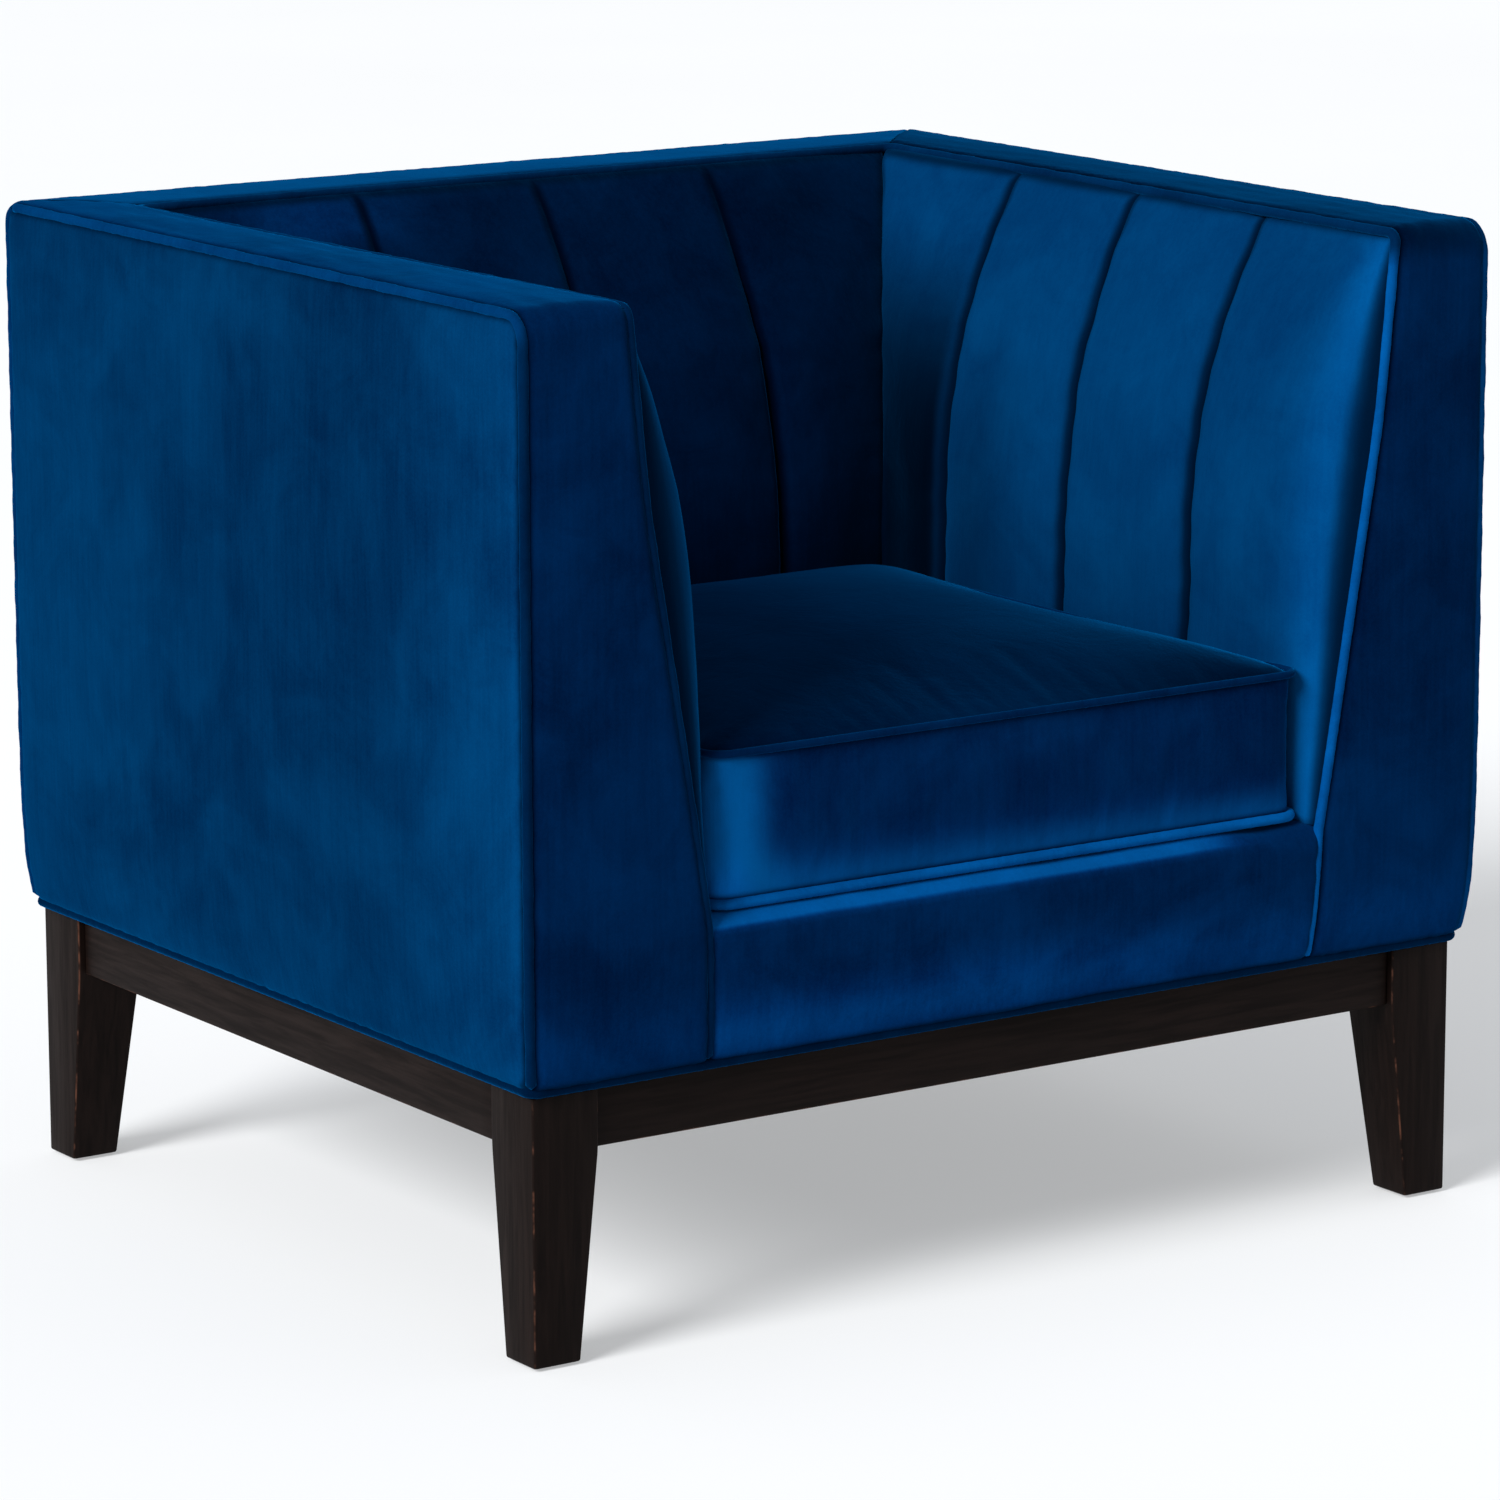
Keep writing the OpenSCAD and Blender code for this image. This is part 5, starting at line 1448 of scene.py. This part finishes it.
def metal(name, tone, rough, scale):
    """Metal with a brushed gloss and dull clouds."""
    g = Graph(name)
    brushed = g.noise(g.mapped((1, 0.2, 1)), scale, 3, 0.6)
    dull = g.noise(g.place, 35, 3, 0.6)
    colour = g.blend(g.spread(dull, 0.4, 0.7), tone, tuple(0.6 * c for c in tone))
    return g.finish(colour, g.spread(brushed, 0.3, 0.7, rough, rough + 0.18),
                    g.bump(brushed, 0.03 * MM, 0.5), Metallic=1.0)


def woven(name, dark, light, pitch):
    """Plain weave from two crossed sine waves, one for each set of threads."""
    g = Graph(name)
    waves = []
    for turn in ((0, 0, 0), (0, 0, math.pi / 2)):
        wave = g.add("ShaderNodeTexWave", wave_type="BANDS", bands_direction="X")
        wave.inputs["Scale"].default_value = 0.314 / pitch
        wave.inputs["Distortion"].default_value = 0.4
        g.join(g.mapped(turn=turn), wave.inputs["Vector"])
        waves.append(wave.outputs["Fac"])
    cloth = g.sums("MULTIPLY", *waves)
    fuzz = g.noise(g.place, 90, 3, 0.6)
    colour = g.blend(g.sums("MULTIPLY", g.sums("ADD", cloth, fuzz), 0.6), dark, light)
    return g.finish(colour, g.spread(fuzz, 0.3, 0.7, 0.95, 0.8), g.bump(cloth, 0.3 * MM, 0.7),
                    Sheen_Weight=0.2, Specular_IOR_Level=0.2)


def foam_cells(name):
    """Cut foam: round cells with painted shade in their hollow middles, in a yellowing block."""
    g = Graph(name)
    cells = g.add("ShaderNodeTexVoronoi")
    cells.inputs["Scale"].default_value = 700
    g.join(g.place, cells.inputs["Vector"])
    tone = g.noise(g.place, 7, 3, 0.5)
    colour = g.blend(g.spread(tone, 0.35, 0.7), (0.80, 0.74, 0.55), (0.70, 0.60, 0.38))
    colour = g.blend(g.spread(cells.outputs["Distance"], 0.0, 0.5, 0.3, 0), colour, (0.4, 0.33, 0.2))
    return g.finish(colour, g.spread(tone, 0.3, 0.7, 0.95, 0.85),
                    g.bump(cells.outputs["Distance"], 0.4 * MM, 0.8))


def moulded(name, tone):
    """Moulded plastic with a fine texture and scuffs."""
    g = Graph(name)
    fine = g.noise(g.place, 800, 2, 0.5)
    scuff = g.noise(g.place, 70, 4, 0.6)
    colour = g.blend(g.spread(scuff, 0.5, 0.75, 0, 0.6), tone, tuple(c + 0.05 for c in tone))
    return g.finish(colour, g.spread(scuff, 0.4, 0.7, 0.45, 0.65), g.bump(fine, 0.05 * MM, 0.5))


finish_of = {
    "frame_wood": plain_wood("beech_frame"),
    "glide_nylon": moulded("black_nylon", (0.012, 0.012, 0.013)),
    "zinc_steel": metal("zinc_plated_steel", (0.62, 0.63, 0.65), 0.32, 500),
    "spring_steel": metal("tempered_spring_steel", (0.30, 0.30, 0.31), 0.38, 700),
    "jute": woven("jute_webbing", (0.16, 0.10, 0.05), (0.42, 0.30, 0.16), 2.2 * MM),
    "cambric": woven("black_cambric", (0.004, 0.004, 0.005), (0.022, 0.022, 0.024), 0.9 * MM),
    "foam": foam_cells("cut_foam"),
    "zip_cloth": woven("navy_zip_tape", (0.0015, 0.005, 0.018), (0.005, 0.018, 0.055), 0.7 * MM),
    "zip_metal": metal("dark_nickel", (0.26, 0.26, 0.27), 0.3, 900),
}
STAINED = [stained("espresso_along_" + axis, k) for k, axis in enumerate("xyz")]
print("finishes", sorted(finish_of))

# %% [markdown]
# ## Giving every piece its finish, its body and its part in the frame
#
# Each piece rides on one of the three bodies that move apart: the chair, the loose cushion and
# the zip's slider. It also names the frame parts that it takes the place of.

# %% Dressing
def dress(made, material, body, slot, *nodes):
    """Finish, body and the frame parts that this piece stands for; the slot is not used."""
    made.data.materials.clear()
    made.data.materials.append(material)
    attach(made, body)
    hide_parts(*nodes)
    return made


for word in ("left", "right"):
    dress(soft["outside_arm_" + word], side_velvet, "chair", "velvet", "outside_arm_" + word)
    dress(soft["boxing_" + word], face_velvet, "chair", "velvet", "arm_front_" + word, "arm_top_" + word)
    dress(soft["inside_arm_" + word], body_velvet, "chair", "velvet", "inside_arm_" + word, "arm_nose_pads")
    dress(soft["welt_" + word], piping_velvet, "chair", "velvet_piping", "outer_arm_welts")
dress(soft["outside_back"], side_velvet, "chair", "velvet", "outside_back")
dress(soft["back_top"], body_velvet, "chair", "velvet", "back_top")
dress(soft["inside_back"], face_velvet, "chair", "velvet", "inside_back")
dress(soft["front_rail_cover"], face_velvet, "chair", "velvet", "front_rail_cover")
dress(soft["inner_welt"], piping_velvet, "chair", "velvet_piping", "inner_welt")
dress(soft["back_welt"], piping_velvet, "chair", "velvet_piping", "back_welt")
dress(soft["base_welt"], piping_velvet, "chair", "velvet_piping", "base_welt")
dress(cushion, seat_velvet, "cushion", "cushion_velvet", "cushion_cover")
dress(soft["cushion_cord_low"], piping_velvet, "cushion", "velvet_piping", "cushion_welts")
dress(soft["cushion_cord_high"], dark_piping, "cushion", "velvet_piping", "cushion_welts")
dress(soft["cushion_core"], finish_of["foam"], "cushion", "foam", "cushion_core")
dress(soft["deck_pad"], finish_of["foam"], "chair", "foam", "deck_pad")
dress(soft["deck_cover"], seat_velvet, "chair", "velvet", "deck_cover")
dress(soft["dust_cover"], finish_of["cambric"], "chair", "cambric", "dust_cover")
dress(zip_strip, finish_of["zip_cloth"], "cushion", "zip_cloth", "zip_tape")
dress(slider, finish_of["zip_metal"], "slider", "zip_metal", "zip_slider")
for node, made in wood.items():
    grain_axis = APRONS.get(node, Z)
    dress(made, STAINED[grain_axis], "chair", "espresso_wood", node)

# %% [markdown]
# The frame parts that stay as they are get a finish by what they are made of.

# %% Frame parts
MADE_OF = (
    ("glide_nylon", ("glides",)),
    ("zinc_steel", ("leg_bolts", "base_screws", "spring_clips")),
    ("spring_steel", ("seat_springs", "spring_stay_wires")),
    ("jute", ("webbing",)),
)
by_node = {node: slot for slot, nodes in MADE_OF for node in nodes}
for name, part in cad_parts.items():
    if part.hide_render:
        continue
    part.data.materials.clear()
    part.data.materials.append(finish_of[by_node.get(name, "frame_wood")])
print("frame parts kept", sum(not p.hide_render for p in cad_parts.values()))

# %% [markdown]
# ## Floor, light and camera
#
# A pale floor that glows a little, like a light table, so the shadow under the chair stays
# pale; one big soft light from the left that rakes across the pile; and weak light from
# elsewhere, so the fronts stay deep and the channels show.

# %% Stage
def floor_sheet(name, reach):
    """Level grid on the ground, pale and glowing a little."""
    a = np.linspace(-reach, reach, 30)
    x, y = np.meshgrid(a, a, indexing="ij")
    points = np.stack([x, y, 0 * x], -1).reshape(-1, 3)
    made = new_mesh(name, points, grid_quads(*x.shape))
    g = Graph("pale_floor")
    tone = g.noise(g.place, 0.8, 2, 0.5)
    made.data.materials.append(g.finish(
        g.blend(tone, (0.53, 0.535, 0.54), (0.56, 0.565, 0.57)), 0.9, Specular_IOR_Level=0.1,
        Emission_Color=(0.97, 0.985, 1.0), Emission_Strength=0.4))
    return made


floor_sheet("floor", 60)
world = bpy.data.worlds.new("studio")
world.use_nodes = True
sky = world.node_tree.nodes["Background"]
sky.inputs["Color"].default_value = (0.93, 0.96, 1, 1)
sky.inputs["Strength"].default_value = 0.36
bpy.context.scene.world = world


def softbox(name, spot, aim, size, watts):
    """Rectangular lamp at a spot, turned towards its aim."""
    data = bpy.data.lights.new(name, "AREA")
    data.shape = "RECTANGLE"
    data.size, data.size_y = size
    data.energy = watts
    light = bpy.data.objects.new(name, data)
    light.location = spot
    light.rotation_euler = (Vector(aim) - Vector(spot)).to_track_quat("-Z", "Y").to_euler()
    bpy.context.scene.collection.objects.link(light)


MIDDLE = (0, 0, 0.4)
SUN_FROM = (-0.86, -0.2, 0.56)                # low and from the left, a little to the front
sun = bpy.data.lights.new("key", "SUN")
sun.energy = 4.3
sun.angle = math.radians(26)
key = bpy.data.objects.new("key", sun)
key.rotation_euler = Vector(SUN_FROM).to_track_quat("Z", "Y").to_euler()
bpy.context.scene.collection.objects.link(key)
softbox("top", (0.4, 0.6, 4.0), MIDDLE, (3.0, 3.0), 12)

CAMERA_SPOT = (-2.7287, -4.0403, 1.3543)
CAMERA_YAW = 0.5965                           # radians, towards the viewer's right
CAMERA_PITCH = 0.2071                         # down
CAMERA_ROLL = 0.0025
lens = bpy.data.cameras.new("camera")
lens.lens = 158.1
lens.sensor_width = 36
camera = bpy.data.objects.new("camera", lens)
camera.location = CAMERA_SPOT
camera.rotation_euler = (math.pi / 2 - CAMERA_PITCH, CAMERA_ROLL, -CAMERA_YAW)
bpy.context.scene.collection.objects.link(camera)
bpy.context.scene.camera = camera
bpy.context.scene.view_settings.view_transform = "Standard"
